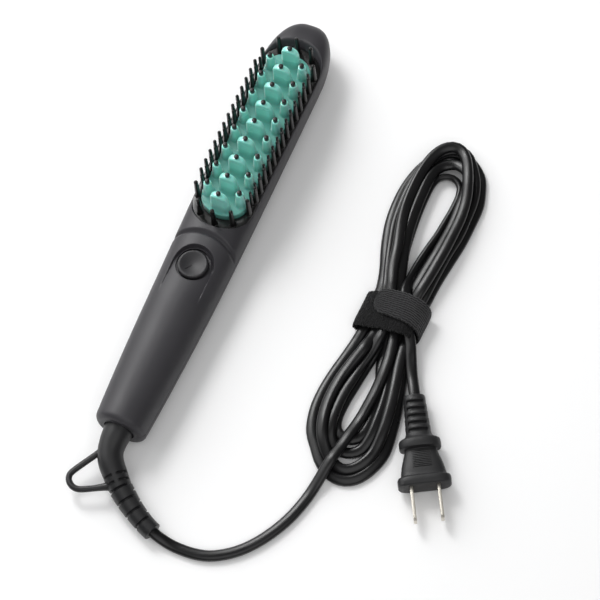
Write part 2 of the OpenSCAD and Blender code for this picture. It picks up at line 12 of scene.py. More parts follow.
import bpy
import numpy as np
from mathutils import Matrix, Vector


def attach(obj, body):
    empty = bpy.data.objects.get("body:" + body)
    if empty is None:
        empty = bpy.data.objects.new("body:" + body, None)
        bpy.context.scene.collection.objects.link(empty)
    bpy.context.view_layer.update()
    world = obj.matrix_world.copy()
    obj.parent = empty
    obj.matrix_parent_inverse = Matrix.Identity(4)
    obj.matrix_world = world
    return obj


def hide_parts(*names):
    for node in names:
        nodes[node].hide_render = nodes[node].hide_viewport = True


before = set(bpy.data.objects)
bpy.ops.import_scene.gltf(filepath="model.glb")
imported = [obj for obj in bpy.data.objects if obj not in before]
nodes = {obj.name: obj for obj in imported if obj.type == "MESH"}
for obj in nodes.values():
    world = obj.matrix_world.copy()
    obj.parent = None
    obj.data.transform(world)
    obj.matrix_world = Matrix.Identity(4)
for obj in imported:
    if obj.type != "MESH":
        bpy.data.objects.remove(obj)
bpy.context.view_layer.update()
MM = 0.001

# %% [markdown]
# ## The camera
# The photograph looks down from behind the brush's left, from far away with a long lens, so
# lines that run together in depth hardly converge. Heading, height and roll were found from the
# tips of the fins and cones, whose spacing is even on the real brush.

# %% Place the camera
HEADING = math.radians(30.232)
ELEVATION = math.radians(64.550)
ROLL = math.radians(-7.516)
DISTANCE = 1432.8
AIM = Vector((48.71, -16.96, 0.0))
level = Vector((-math.sin(HEADING), math.cos(HEADING), 0.0))
forward = level * math.cos(ELEVATION) - Vector((0, 0, math.sin(ELEVATION)))
side = Vector((math.cos(HEADING), math.sin(HEADING), 0.0))
rise = side.cross(forward)
right = side * math.cos(ROLL) + rise * math.sin(ROLL)
above = rise * math.cos(ROLL) - side * math.sin(ROLL)
bpy.ops.object.camera_add(location=(AIM - forward * DISTANCE) * MM)
camera = bpy.context.object
camera.name = "camera"
turn = Matrix((right, above, -forward)).transposed()
camera.rotation_euler = turn.to_euler()
camera.data.sensor_width = 36
camera.data.lens = 180
camera.data.clip_end = 20
bpy.context.scene.camera = camera
print("camera is", round(DISTANCE), "mm from its aim point")

# %% [markdown]
# ## The table and the light
# The real set is a white sweep with a large soft source beyond the upper left edge, so shadows
# are wide, pale and fall to the lower right. One large lamp gives that. A small one draws the
# narrow lights on the cord, two weak ones fill from behind and in front, and a pale world adds
# the rest. The light stays plain, and the white comes from the table's own colour.

# %% Build the stage
def node_material(name):
    material = bpy.data.materials.new(name)
    material.use_nodes = True
    tree = material.node_tree
    return material, tree, tree.nodes["Principled BSDF"]


def set_inputs(tree, node, **inputs):
    """Sets a node's inputs by name. An input that is given another node's socket is linked."""
    for title, value in inputs.items():
        socket = node.inputs[title.replace("_", " ")]
        if isinstance(value, bpy.types.NodeSocket):
            tree.links.new(value, socket)
        else:
            socket.default_value = value
    return node


def add_node(tree, kind, mode=None, **inputs):
    """Adds a shader node. Its mode is a pair, a property and its value, and is set first."""
    node = tree.nodes.new("ShaderNode" + kind)
    if mode:
        setattr(node, *mode)
    return set_inputs(tree, node, **inputs)


bpy.ops.mesh.primitive_plane_add(size=6, location=(0.05, 0, 0))
table = bpy.context.object
table.name = "table"
table_white, tree, shader = node_material("table_white")
set_inputs(tree, shader, Base_Color=(0.92, 0.92, 0.922, 1), Roughness=0.6, Specular_IOR_Level=0.25)
table.data.materials.append(table_white)


def soft_lamp(name, across, away, up, size, power):
    """A square soft box, placed in millimetres from the aim point as the camera sees the table:
    across to the right, away from the camera and up. It's turned to face the aim point."""
    place = (AIM + flat_right * across + flat_up * away + Vector((0, 0, up))) * MM
    bpy.ops.object.light_add(type="AREA", location=place)
    lamp = bpy.context.object
    lamp.name = name
    lamp.data.size = size
    lamp.data.energy = power
    lamp.rotation_euler = (AIM * MM - place).to_track_quat("-Z", "Y").to_euler()


flat_right = Vector((right.x, right.y, 0)).normalized()
flat_up = Vector((level.x, level.y, 0)).normalized()
soft_lamp("window_light", -820, 500, 800, 1.3, 8.6)
soft_lamp("core_light", -340, 670, 930, 0.36, 4.6)
soft_lamp("back_light", -330, 980, 620, 0.8, 3.4)
soft_lamp("front_light", 100, -900, 1500, 1.6, 8.5)
world = bpy.data.worlds.new("pale_room")
bpy.context.scene.world = world
world.use_nodes = True
tree = world.node_tree
# The room is dim where the gloss mirrors it, brighter as fill, and white behind the table
FILL, MIRRORED = 0.42, 0.07
light_path = add_node(tree, "LightPath")
room_level = add_node(tree, "MapRange", Value=light_path.outputs["Is Glossy Ray"],
                      To_Min=FILL, To_Max=MIRRORED)
seen_level = add_node(tree, "Math", ("operation", "MAXIMUM"))
tree.links.new(light_path.outputs["Is Camera Ray"], seen_level.inputs[0])
tree.links.new(room_level.outputs["Result"], seen_level.inputs[1])
set_inputs(tree, tree.nodes["Background"], Color=(1, 1, 1, 1), Strength=seen_level.outputs[0])
bpy.context.scene.view_settings.view_transform = "Standard"

# %% [markdown]
# ## Working by hand
# Operators act on whatever is selected, so each step starts by selecting one piece only.
# These small helpers do the same few things again and again: pick a piece, cut it with
# another, soften its edges, and copy it to its places. Long round pieces all start as a flat
# grid that is rolled up: its columns go round the piece and its rows run along it. The last
# helpers deal with lines of points: how far along each point is, and which way the line heads.

# %% Helpers for picking, cutting and softening
def pick(piece):
    bpy.ops.object.select_all(action="DESELECT")
    piece.select_set(True)
    bpy.context.view_layer.objects.active = piece
    return piece


def named(name):
    piece = bpy.context.object
    piece.name = name
    piece.data.name = name
    return pick(piece)


def settle_place(piece):
    """Moves the object's own place and turn into its mesh."""
    pick(piece)
    bpy.ops.object.transform_apply(location=True, rotation=True, scale=True)
    return piece


def modify(piece, kind, **settings):
    pick(piece)
    modifier = piece.modifiers.new(kind.lower(), kind)
    for key, value in settings.items():
        setattr(modifier, key, value)
    bpy.ops.object.modifier_apply(modifier=modifier.name)
    return piece


def carve(piece, tool, how="DIFFERENCE"):
    modify(piece, "BOOLEAN", operation=how, object=tool, solver="EXACT")
    bpy.data.objects.remove(tool)
    return piece


def soften(piece, width, angle):
    """Rounds the piece's sharp edges by a width in millimetres, and smooths the rest."""
    modify(piece, "BEVEL", width=width * MM, segments=2, limit_method="ANGLE",
           angle_limit=math.radians(angle), use_clamp_overlap=True, miter_outer="MITER_ARC")
    return smooth(piece, 40)


def smooth(piece, angle):
    pick(piece)
    bpy.ops.object.shade_smooth_by_angle(angle=math.radians(angle))
    return piece


def join(name, pieces):
    bpy.ops.object.select_all(action="DESELECT")
    for piece in pieces:
        piece.select_set(True)
    bpy.context.view_layer.objects.active = pieces[0]
    bpy.ops.object.join()
    return named(name)


def copy_to(pattern, places, name):
    """One copy of the pattern at each place, each with its own mesh, joined into one piece."""
    copies = []
    for place in places:
        copy = pattern.copy()
        copy.data = pattern.data.copy()
        bpy.context.scene.collection.objects.link(copy)
        copy.location = Vector(place) * MM
        copies.append(settle_place(copy))
    bpy.data.objects.remove(pattern)
    return join(name, copies)


# %% Helpers that roll a grid into a tube and follow a line
def lofted(name, rings):
    """A closed piece through rings of points, given in millimetres. It starts as a flat grid:
    its columns are the points round a ring, and its rows are the rings. Each ring ends on its
    first point. What stays open at the two ends is filled."""
    along, around = len(rings) - 1, len(rings[0]) - 1
    bpy.ops.mesh.primitive_grid_add(x_subdivisions=around, y_subdivisions=along, size=2)
    piece = named(name)
    flat = np.zeros(len(piece.data.vertices) * 3)
    piece.data.vertices.foreach_get("co", flat)
    flat = flat.reshape(-1, 3)
    column = np.rint((flat[:, 0] + 1) / 2 * around).astype(int)
    row = np.rint((flat[:, 1] + 1) / 2 * along).astype(int)
    piece.data.vertices.foreach_set("co", (np.asarray(rings)[row, column] * MM).ravel())
    piece.data.update()
    bpy.ops.object.mode_set(mode="EDIT")
    bpy.ops.mesh.select_all(action="SELECT")
    bpy.ops.mesh.remove_doubles(threshold=1e-6)
    bpy.ops.mesh.dissolve_degenerate(threshold=1e-6)
    bpy.ops.mesh.select_all(action="SELECT")
    bpy.ops.mesh.fill_holes(sides=0)
    bpy.ops.mesh.select_all(action="SELECT")
    bpy.ops.mesh.normals_make_consistent(inside=False)
    bpy.ops.object.mode_set(mode="OBJECT")
    return piece


def power(c, n):
    """A superellipse's cosine or sine, of squareness n."""
    return np.sign(c) * np.abs(c) ** (2.0 / n)


def smooth_step(t):
    t = np.clip(t, 0.0, 1.0)
    return t * t * (3 - 2 * t)


def full_turn(sides):
    return np.linspace(0, 2 * np.pi, sides + 1)


def distance_along(points):
    return np.concatenate([[0], np.cumsum(np.linalg.norm(np.diff(points, axis=0), axis=1))])


def resampled(points, along, stops):
    return np.column_stack([np.interp(stops, along, column) for column in points.T])


def heading(points):
    ahead = np.gradient(points, axis=0)
    return ahead / np.linalg.norm(ahead, axis=1)[:, None]


# %% [markdown]
# ## Finishes
# Every finish is a Principled shader whose colour, roughness and height vary a little over the
# surface. The variation comes from one shared group, so that each material only states its own
# scale and amount. The group puts out plain values; the shader itself stays in the material.

# %% The shared surface group
def surface_group():
    group = bpy.data.node_groups.new("surface_variation", "ShaderNodeTree")
    for title, value in (("Grain Size", 900.0), ("Cloud Size", 40.0)):
        socket = group.interface.new_socket(title, in_out="INPUT", socket_type="NodeSocketFloat")
        socket.default_value = value
    for title in ("Grain", "Cloud"):
        group.interface.new_socket(title, in_out="OUTPUT", socket_type="NodeSocketFloat")
    enter = group.nodes.new("NodeGroupInput")
    leave = group.nodes.new("NodeGroupOutput")
    where = group.nodes.new("ShaderNodeTexCoord")
    grain = add_node(group, "TexNoise", Detail=3)
    cloud = add_node(group, "TexNoise", Detail=4)
    for noise, size in ((grain, "Grain Size"), (cloud, "Cloud Size")):
        set_inputs(group, noise, Vector=where.outputs["Object"], Scale=enter.outputs[size])
    group.links.new(grain.outputs["Fac"], leave.inputs["Grain"])
    group.links.new(cloud.outputs["Fac"], leave.inputs["Cloud"])
    return group


SURFACE = surface_group()


def finish(name, dark, light, rough, grain_size, bump, cloud_size=40.0, **sockets):
    """A material between two colours and two roughnesses, with a fine moulded grain, whose bumps
    are given in millimetres. Other sockets of the shader can be set by name."""
    material, tree, shader = node_material(name)
    surface = tree.nodes.new("ShaderNodeGroup")
    surface.node_tree = SURFACE
    set_inputs(tree, surface, Grain_Size=grain_size, Cloud_Size=cloud_size)
    colour = add_node(tree, "Mix", ("data_type", "RGBA"), Factor=surface.outputs["Cloud"],
                      A=(*dark, 1), B=(*light, 1))
    dull = add_node(tree, "MapRange", Value=surface.outputs["Cloud"], From_Min=0.3, From_Max=0.7,
                    To_Min=rough[0], To_Max=rough[1])
    relief = add_node(tree, "Bump", Strength=1.0, Distance=bump * MM, Height=surface.outputs["Grain"])
    set_inputs(tree, shader, Base_Color=colour.outputs["Result"], Roughness=dull.outputs["Result"],
               Normal=relief.outputs["Normal"], **sockets)
    return material


# Soft-touch charcoal, a little violet, with a fine spark-eroded grain
CHARCOAL = finish("charcoal_soft_touch", (0.028, 0.027, 0.031), (0.035, 0.033, 0.038),
                  (0.44, 0.52), 1500, 0.012)
# Painted shade: the cap has a darker copy of the charcoal, standing in for the shade in its dished face
BUTTON_SHADED_CHARCOAL = finish("button_shaded_charcoal", (0.015, 0.0145, 0.0165), (0.020, 0.0195, 0.022),
                      (0.40, 0.50), 1500, 0.010)
CORD_BLACK = finish("cord_black", (0.004, 0.004, 0.0045), (0.008, 0.008, 0.0085),
                    (0.27, 0.34), 700, 0.0008, 90)
BOOT_BLACK = finish("boot_black", (0.011, 0.011, 0.012), (0.017, 0.017, 0.018), (0.36, 0.46), 1100, 0.010)
BRISTLE_BLACK = finish("bristle_black", (0.004, 0.004, 0.004), (0.008, 0.0075, 0.0075),
                       (0.24, 0.36), 900, 0.004)
PLUG_BLACK = finish("plug_black", (0.011, 0.011, 0.012), (0.018, 0.018, 0.019), (0.42, 0.54), 1000, 0.010)
PLATED = finish("plated_blades", (0.66, 0.63, 0.56), (0.74, 0.71, 0.64),
                (0.46, 0.56), 600, 0.004, Metallic=1.0)
MINT = finish("mint_ceramic", (0.240, 0.690, 0.600), (0.280, 0.740, 0.650), (0.20, 0.30), 1400, 0.004,
              Subsurface_Weight=0.2, Subsurface_Scale=0.002, Sheen_Weight=0.4, Sheen_Roughness=0.3,
              Coat_Weight=0.6, Coat_Roughness=0.14)


def paint_low_shade(material, colour, low, high):
    """Paints shade into a finish: its colour turns darker from one height in mm down to another."""
    tree = material.node_tree
    shader = tree.nodes["Principled BSDF"]
    usual = shader.inputs["Base Color"].links[0].from_socket
    place = add_node(tree, "TexCoord").outputs["Object"]
    parts = add_node(tree, "SeparateXYZ", Vector=place)
    above = add_node(tree, "MapRange", Value=parts.outputs["Z"], From_Min=low * MM, From_Max=high * MM)
    blend = add_node(tree, "Mix", ("data_type", "RGBA"), Factor=above.outputs["Result"],
                     A=(*colour, 1), B=usual)
    set_inputs(tree, shader, Base_Color=blend.outputs["Result"])


# Painted shade: the mint turns darker towards the feet of the fins and cones, where they shade one another
paint_low_shade(MINT, (0.095, 0.330, 0.280), 24.0, 30.0)
print("finishes:", [m.name for m in bpy.data.materials])


def dress(piece, body, slot, material, *replaced):
    """Hands a finished piece to the frame: its body, its finish, and what it stands for. The slot is not
    used.
    """
    piece.data.materials.clear()
    piece.data.materials.append(material)
    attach(piece, body)
    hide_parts(*replaced)
    faces = len(piece.data.polygons)
    low = [round(c / MM, 1) for c in np.array([v.co for v in piece.data.vertices]).min(0)]
    print(f"{piece.name}: {faces} faces, lowest corner {low}")
    return piece


# %% [markdown]
# ## The mains cord
# A flat two-core cord, 5.4 mm by 3.4 mm, leaves the boot, swings round on the table and
# climbs over the hank's lower loops into the strap. It is then folded to and fro: five loops
# above the strap and four below, and runs on to the plug. It is one cord, so it is one path.
# The path is laid in plan first. Then it is let down: where two stretches cross or crowd, the
# one that is higher in the heap rides over the other, and all of it stays on the table or on cord.

# %% Lay the cord in plan
CORD_WIDTH = 5.4
CORD_THICK = 3.4
# Each stretch: its place in the heap, how far it is turned on edge, its height if the strap
# holds it there, and its points
STRETCHES = [
    (4, 0, 0, [
        (27, -149.8), (33.8, -152.7), (39, -153.9), (46, -154.6), (55, -154.3), (63, -152.2), (71, -147.3),
        (77.5, -141), (83.5, -132.5), (88.5, -122.5), (91.8, -112), (94, -101), (96, -88.8), (97.6, -79.5),
        (99, -70.8), (100.2, -63), (101, -55.3), (101.5, -48.5), (101.6, -42.4), (101.3, -36),
        (100.6, -29.5)]),
    (3, 0, 6.4, [(98.6, -20), (95.5, -12), (93, -5)]),
    (3, 0, 0, [
        (91, 3.5), (88.4, 14), (86, 23.5), (84.2, 32.5), (83, 42.5), (82.4, 53.5), (82.6, 64.5),
        (85.2, 72), (92, 75.6), (98.9, 72.4), (101.6, 64.5), (102.2, 54.5), (102.5, 45.5), (102, 35.5),
        (101, 25), (99.5, 13.5), (99, 3)]),
    (2, 0, 4.0, [(101, -4.5), (104, -12.5)]),
    (0, 0, 0, [
        (107, -22.5), (108.5, -30.5), (110.5, -39), (113, -49), (115, -58), (116.5, -67.5), (117, -76.5),
        (114.5, -85), (110.5, -91.5), (105, -95), (98.5, -95), (91.5, -91), (86, -84.5), (81, -77.5),
        (78.5, -68.5), (78, -59), (79, -48.5), (80.8, -38.5), (82.6, -28)]),
    (0, 0, 2.9, [(83.8, -19), (83.8, -12), (83.6, -4.5)]),
    (0, 10, 0, [
        (82.5, 4), (80.2, 13), (76.5, 23.5), (73.5, 35.5), (72.5, 46.5), (73, 57.5), (75.5, 68),
        (80, 76.5), (85.5, 82), (92, 82.5), (98.5, 80), (104.5, 74.5), (107.5, 67.5), (109.5, 59.5),
        (109.5, 50), (109, 38.5), (107.5, 27), (106, 15), (105.4, 4.5)]),
    (1, 0, 3.4, [(105.3, -4.5), (105.3, -13)]),
    (3, 0, 0, [
        (105.3, -23), (106.8, -33), (109, -42.5), (111, -52), (112.5, -62), (113, -71.5), (112, -80),
        (108, -87), (102.5, -90.5), (96.5, -89), (91, -84.5), (86, -77), (83.5, -67.5), (83, -58),
        (84, -48.5), (86.4, -39), (88.8, -30.5)]),
    (2, 0, 6.4, [(90, -20), (89, -12), (87.4, -4.5)]),
    (1, 0, 0, [
        (85.8, 3), (82.7, 12.5), (79.5, 23.5), (76.5, 35.5), (75.5, 46.5), (75.5, 57), (77, 67),
        (80.5, 76.5), (87, 82.5), (94, 82.5), (99.5, 77), (104, 69.5), (106.5, 60.5), (107, 51),
        (107, 40.5), (105.5, 29), (104.5, 16.5), (103.7, 4.5)]),
    (1, 0, 2.9, [(102.4, -4.5), (101.3, -12.5), (101, -19)]),
    (2, 0, 0, [
        (102, -28), (103.6, -35.5), (106, -44), (107.5, -53), (108.2, -62), (108.2, -72), (105.4, -79.2),
        (98.5, -82.2), (91.6, -79.2), (88.6, -72), (87.8, -62), (88, -54), (88.8, -48.5), (90, -40),
        (92, -31.5)]),
    (3, 0, 8.2, [(93.2, -20), (91.8, -12), (90, -4.5)]),
    (4, 0, 0, [
        (88, 3), (85, 12), (83, 22.5), (80, 34), (78, 44.5), (77.5, 55), (78, 64), (79.5, 72.5),
        (82.5, 79), (87, 82.5), (92, 82), (96.5, 77), (100.5, 68.5), (103.5, 59.5), (105, 49.5),
        (105, 39.5), (104.5, 28.5), (103.2, 16), (101.6, 4.5)]),
    (2, 0, 5.5, [(99.6, -4.5), (97.4, -12.5), (96.4, -20)]),
    (1, 0, 0, [
        (97, -28), (98.5, -35), (101, -42), (103, -50), (104.5, -58.5), (104.6, -67.5), (102.4, -73.2),
        (97.2, -75.5), (92, -73.2), (89.8, -67.5), (89.8, -58.5), (90.8, -49.5), (91.8, -41), (93, -32.5)]),
    (1, 0, 2.9, [(94.2, -22), (94.4, -13), (93.4, -4.5)]),
    (2, 62, 0, [
        (91.5, 5), (89, 14.5), (86.6, 23.5), (85.2, 33.5), (84.2, 45), (84, 54.5), (84.3, 61.8),
        (86.4, 67.2), (91.6, 69.5), (96.8, 67.2), (99, 61.8), (99.2, 54), (98.5, 46), (97.5, 37),
        (95.8, 27.5), (94.6, 18), (94.6, 8)]),
    (5, 20, 8.6, [(96.5, -1), (100, -8), (103.8, -14.5)]),
    (5, 0, 0, [(107.9, -21.5), (111, -28.3), (114.2, -35), (117, -40), (119.3, -44.2), (121.3, -47.9)]),
]


def smooth_path(points, steps):
    """Points of a smooth curve through the given ones."""
    p = np.array(points, float)
    p = np.vstack([2 * p[0] - p[1], p, 2 * p[-1] - p[-2]])
    t = np.linspace(0, 1, steps, endpoint=False)[:, None]
    out = []
    for a, b, c, d in zip(p[:-3], p[1:-2], p[2:-1], p[3:]):
        out.append(0.5 * (2 * b + (c - a) * t + (2 * a - 5 * b + 4 * c - d) * t ** 2
                          + (3 * b - a - 3 * c + d) * t ** 3))
    return np.vstack(out + [p[-2:-1]])


plan = np.array([q for *_, points in STRETCHES for q in points], float)
facts = np.array([(heap, edge, held) for heap, edge, held, points in STRETCHES for _ in points], float)
under_strap = (facts[:, 2] > 0).astype(float)
dense = smooth_path(np.column_stack([plan, facts, under_strap]), 6)
run = distance_along(dense[:, :2])
SPACING = 2.4
even = np.linspace(0, run[-1], int(run[-1] / SPACING))
lay = resampled(dense, run, even)
print("cord in plan:", round(run[-1]), "mm,", len(lay), "points")


# %% [markdown]
# ## Letting the cord down
# Each pair of points of the cord that is closer in plan than its width needs some height
# between them, as much as two oval sections need to pass. The one that is higher in the heap
# moves up, or the later one if they are level, and the other moves down. A little smoothing
# keeps every hump long and low. The ends stay where the boot and the plug hold them.

# %% Let the cord down
ROUNDS = 400
HIGHEST = 11.5


def let_down(lay):
    n = len(lay)
    held = np.clip(lay[:, 5], 0, 1)
    turn = np.radians(lay[:, 3])
    half_w = np.hypot(CORD_WIDTH / 2 * np.cos(turn), CORD_THICK / 2 * np.sin(turn))
    half_h = np.hypot(CORD_WIDTH / 2 * np.sin(turn), CORD_THICK / 2 * np.cos(turn))
    near = np.linalg.norm(lay[:, None, :2] - lay[None, :, :2], axis=2) / (half_w[:, None] + half_w[None, :])
    first, second = np.where(near < 1)
    keep = (second - first > 8) & (held[first] < 0.25) & (held[second] < 0.25)
    first, second = first[keep], second[keep]
    swap = np.round(lay[first, 2]) > np.round(lay[second, 2])
    lower, upper = np.where(swap, second, first), np.where(swap, first, second)
    need = (half_h[lower] + half_h[upper]) * np.sqrt(1 - near[lower, upper] ** 2)
    rest = half_h + 0.05
    z = rest.copy()
    start = np.interp(np.arange(5), [0, 4], [5.6, 4.2])
    end = np.interp(np.arange(4), [0, 3], [6.1, 6.4])
    for _ in range(ROUNDS):
        lack = np.clip(need - (z[upper] - z[lower]), 0, None)
        lift, sink = np.zeros(n), np.zeros(n)
        np.maximum.at(lift, upper, lack * 0.5)
        np.maximum.at(sink, lower, lack * 0.4)
        z = np.clip(z + lift - sink - 0.05, rest, HIGHEST)
        z[1:-1] = 0.5 * z[1:-1] + 0.25 * (z[:-2] + z[2:])
        z += (lay[:, 4] / np.clip(lay[:, 5], 0.1, 1) - z) * held ** 2
        z = np.maximum(z, rest)
        z[:5] = start
        z[-4:] = end
    left_over = np.clip(need - (z[upper] - z[lower]), 0, None)
    print("crossings that still press in by more than 0.8 mm:", int((left_over > 0.8).sum()), "of", len(need))
    return z


height = let_down(lay)
path = np.column_stack([lay[:, :2], height])


# %% Sweep the flat section along the path
def frames(path):
    """The directions across and up at each point of a path."""
    ahead = heading(path)
    across = np.cross(ahead, (0, 0, 1))
    across /= np.linalg.norm(across, axis=1)[:, None]
    return across, np.cross(across, ahead)


lean = np.radians(lay[:, 3] + 14 * np.sin(even / 61.0) + 8 * np.sin(even / 23.0 + 1.0))
lean *= smooth_step((even - 20) / 60) * smooth_step((even[-1] - 10 - even) / 40)
a = full_turn(20)
wide, thick = CORD_WIDTH / 2 * power(np.cos(a), 2.5), CORD_THICK / 2 * power(np.sin(a), 2.3)
rings = []
for p, c, v, t in zip(path, *frames(path), lean):
    rings.append(p + np.outer(wide * math.cos(t) - thick * math.sin(t), c)
                 + np.outer(wide * math.sin(t) + thick * math.cos(t), v))
mains_cord = smooth(lofted("mains_cord", np.array(rings)), 60)
dress(mains_cord, "cord_side", "cord", CORD_BLACK, "cord_lead", "cord_hank", "cord_tail")

# %% [markdown]
# ## The moulded body
# The housing's section changes along its length: nearly round at the tail, flatter on top and
# wider at the head, closing in a dome. Each section is a superellipse, whose width, height and
# squareness are smooth functions of the distance along the brush. The construction model is
# drawn by the same functions, so the dressed covers follow its solids.

# %% The body's sections
# Places along the body: its two ends, where its dome starts, the centre of the bristle field,
# where it is also widest, the button, and the centre of the arc where the two covers meet
TAIL_Y, TIP_Y, DOME_Y, FIELD_Y, BUTTON_Y, ARC_Y = -115, 115, 82, 46, -28.6, -37.6
WIDEST = 16.65
TAIL_ROUND = 3
DOME_POWER = 2.3
SWIVEL_Z = 12.5
WALL = 2.0
# The back shell ends just under the seam and the covers start just above it, both with a soft lip
SHELL_EDGE, COVER_EDGE, LIP = 12.93, 13.05, 0.22


def headness(y):
    return smooth_step((y + 50) / 100)


def dome(y, start, n):
    return (1 - np.clip((y - start) / (TIP_Y - start), 0, 0.998) ** n) ** (1 / n)


def half_width(y):
    taper = 4.15 * (np.clip(FIELD_Y - y, 0, None) / (FIELD_Y - TAIL_Y)) ** 2.7
    return np.where(y < FIELD_Y, WIDEST - taper, WIDEST * dome(y, DOME_Y, DOME_POWER))


def outline(angle, y, inset=0.0):
    """Across and up for points at an angle on the body's section at y, set in from the surface."""
    middle = 12.5 + 2.5 * headness(y)
    high = (25 + 1.3 * headness(y) - middle) * dome(y, 90, 2.5)
    low = (middle + 0.25 - 1.5 * smooth_step((y - 50) / 32)) * dome(y, DOME_Y, DOME_POWER)
    edge = np.clip(TAIL_ROUND - (y - TAIL_Y), 0, TAIL_ROUND)
    inset = inset + TAIL_ROUND - np.sqrt(TAIL_ROUND ** 2 - edge ** 2)
    s = np.sin(angle)
    n = np.where(s >= 0, 2.2 + 1.2 * headness(y), 2.3)
    x = (half_width(y) - inset) * power(np.cos(angle), n)
    z = middle + (np.where(s >= 0, high, low) - inset) * power(s, n)
    return x, z


def even_angles(y, columns, bottom, top, above=False):
    """Angles round a section from its lowest point and back, even along the outline. What lies
    beyond the bottom and top limits is going to be pressed flat, so it gets few columns, and
    the strip next to a limit gets many. With above, only angles over the bottom limit are given."""
    angle = np.linspace(-np.pi / 2, 1.5 * np.pi, 1601)
    x, z = outline(angle, y)
    step = np.hypot(np.diff(x), np.diff(z))
    z = (z[1:] + z[:-1]) / 2
    inside = (z > bottom) & (z < top)
    close = inside & ((z < bottom + 0.5) | (z > top - 0.5))
    weight = step * np.where(close, 4.0, np.where(inside, 1.0, 0.12))
    if above:
        first, last = np.flatnonzero(inside)[[0, -1]]
        angle, weight = angle[first:last + 2], weight[first:last + 1]
    total = np.concatenate([[0], np.cumsum(weight)])
    return np.interp(np.linspace(0, total[-1], columns + 1), total, angle)


def loft_rings(rows, columns, bottom=-50.0, top=50.0, lip=0.0, above=False):
    """Rings of points for rows of (y at the middle, arc radius or 0, blend, inset). A row with
    an arc radius is bent in plan towards the arc where the two covers meet, and what it's set in
    by fades out down the sides. The outline is pressed flat at bottom and top, and a lip rounds
    it there. With above, a ring follows the outline over the bottom and comes back along it."""
    rings = []
    for y0, radius, bend, inset in rows:
        middle_y = y0 * (1 - bend) + bend * (ARC_Y + radius)
        angle = even_angles(middle_y, columns, bottom, top, above)
        y = np.full(columns + 1, float(y0))
        if radius:
            inset = inset * (0.06 + 0.94 * smooth_step((outline(angle, middle_y)[1] - 15.5) / 5.5))
        for _ in range(6 if radius else 0):
            x, _ = outline(angle, y, inset)
            y = y0 * (1 - bend) + bend * (ARC_Y + np.sqrt(np.clip(radius ** 2 - x ** 2, 1, None)))
        x, z = outline(angle, y, inset)
        z = np.clip(z, bottom, top)
        if lip:
            depth = lip - np.minimum(np.clip(z - bottom, 0, lip), np.clip(top - z, 0, lip))
            x = x - np.sign(x) * (lip - np.sqrt(lip ** 2 - depth ** 2))
        ring = np.column_stack([x, y, z])
        if above:
            count = np.arange(columns + 1)
            ring[:, 2] = np.maximum(ring[:, 2], bottom + 0.02 * np.minimum(count, count[::-1]))
            ring[[0, -1], 2] = bottom
            under = seam_line(ring)[-2:0:-1]
            ring = np.vstack([ring, under, ring[:1]])
        rings.append(ring)
    return np.array(rings)


def seam_line(ring):
    """A cover's outline laid down on the seam. What bulges past the seam's ends stays at them."""
    low = ring.copy()
    low[:, 2] = ring[0, 2]
    low[ring[:, 0] * np.sign(ring[0, 0]) > abs(ring[0, 0])] = ring[0]
    low[ring[:, 0] * np.sign(ring[-1, 0]) > abs(ring[-1, 0])] = ring[-1]
    return low


COVER_COLUMNS = 150


def cover_rings(rows):
    return loft_rings(rows, COVER_COLUMNS, COVER_EDGE, 50, LIP, above=True)


def end_wall(ring):
    """The ring that closes a cover's bent end: its upper points come down on the seam."""
    wall = ring.copy()
    wall[:COVER_COLUMNS + 1] = seam_line(ring[:COVER_COLUMNS + 1])
    return wall[None]


def soft_lip(radius, width, depth, steps, side):
    """Rows that sink the covers' edge into the arc groove on an easy slope."""
    rows = []
    for t in np.linspace(0, 1, steps):
        fall = 0.82 * float(smooth_step(t)) + 0.18 * (1 - math.sqrt(1 - t ** 2))
        rows.append((0, radius + side * width * (1 - t), 1.0, depth * fall))
    return rows


TAIL_ROWS = [(TAIL_Y + TAIL_ROUND * (1 - math.cos(a)), 0, 0, 0) for a in np.linspace(0, np.pi / 2, 9)]


def dome_rows(first, count):
    return [(DOME_Y + (TIP_Y - DOME_Y) * math.sin(a) ** (2 / DOME_POWER), 0, 0, 0)
            for a in np.linspace(first, np.pi / 2, count)]


def straight_rows(start, end, step):
    return [(y, 0, 0, 0) for y in np.arange(start, end, step)]


def block(name, low_corner, high_corner):
    size = np.subtract(high_corner, low_corner)
    middle = np.add(low_corner, size / 2)
    bpy.ops.mesh.primitive_cube_add(size=1, location=Vector(middle) * MM, scale=Vector(size) * MM)
    return settle_place(named(name))


def rod(name, radius, at, depth, sides, axis=(0, 0, 1)):
    """A cylinder from a point, along an axis."""
    way = Vector(axis).normalized()
    bpy.ops.mesh.primitive_cylinder_add(vertices=sides, radius=radius * MM, depth=depth * MM,
                                        location=(Vector(at) + way * depth / 2) * MM,
                                        rotation=way.to_track_quat("Z", "Y").to_euler())
    return settle_place(named(name))


def oval(half_w, half_l, end, z, sides):
    """A long oval round the bristle field's centre: straight sides and elliptical ends."""
    a = full_turn(sides)
    half_w, half_l, end, z = (np.broadcast_to(v, a.shape) for v in (half_w, half_l, end, z))
    away = np.where(np.sin(a) >= -1e-9, 1, -1) * (half_l - end)
    return np.column_stack([half_w * np.cos(a), FIELD_Y + end * np.sin(a) + away, z])


def oval_block(name, half_w, half_l, end, bottom, top):
    return lofted(name, np.array([oval(half_w, half_l, end, z, 128) for z in (bottom, top)]))


def carve_hollow(cover, places, bottom=-50, top=50):
    """Carves the inside out of a cover, a wall's thickness in from the surface."""
    rows = [(y, 0, 0, WALL) for y in places]
    carve(cover, lofted("hollow", loft_rings(rows, 64, bottom, top)))


def carve_swivel_hole(cover):
    carve(cover, rod("swivel_hole", 7.6, (0, TAIL_Y - 2, SWIVEL_Z), 6, 96, (0, 1, 0)))


# %% [markdown]
# ## The back shell
# The back shell is the body under the seam. It is one loft, with its upper side pressed flat
# at the seam and its underside cut flat where it rests on the table. A smaller loft is carved
# out of it for the hollow, then the hole for the swivel and the five screw wells.

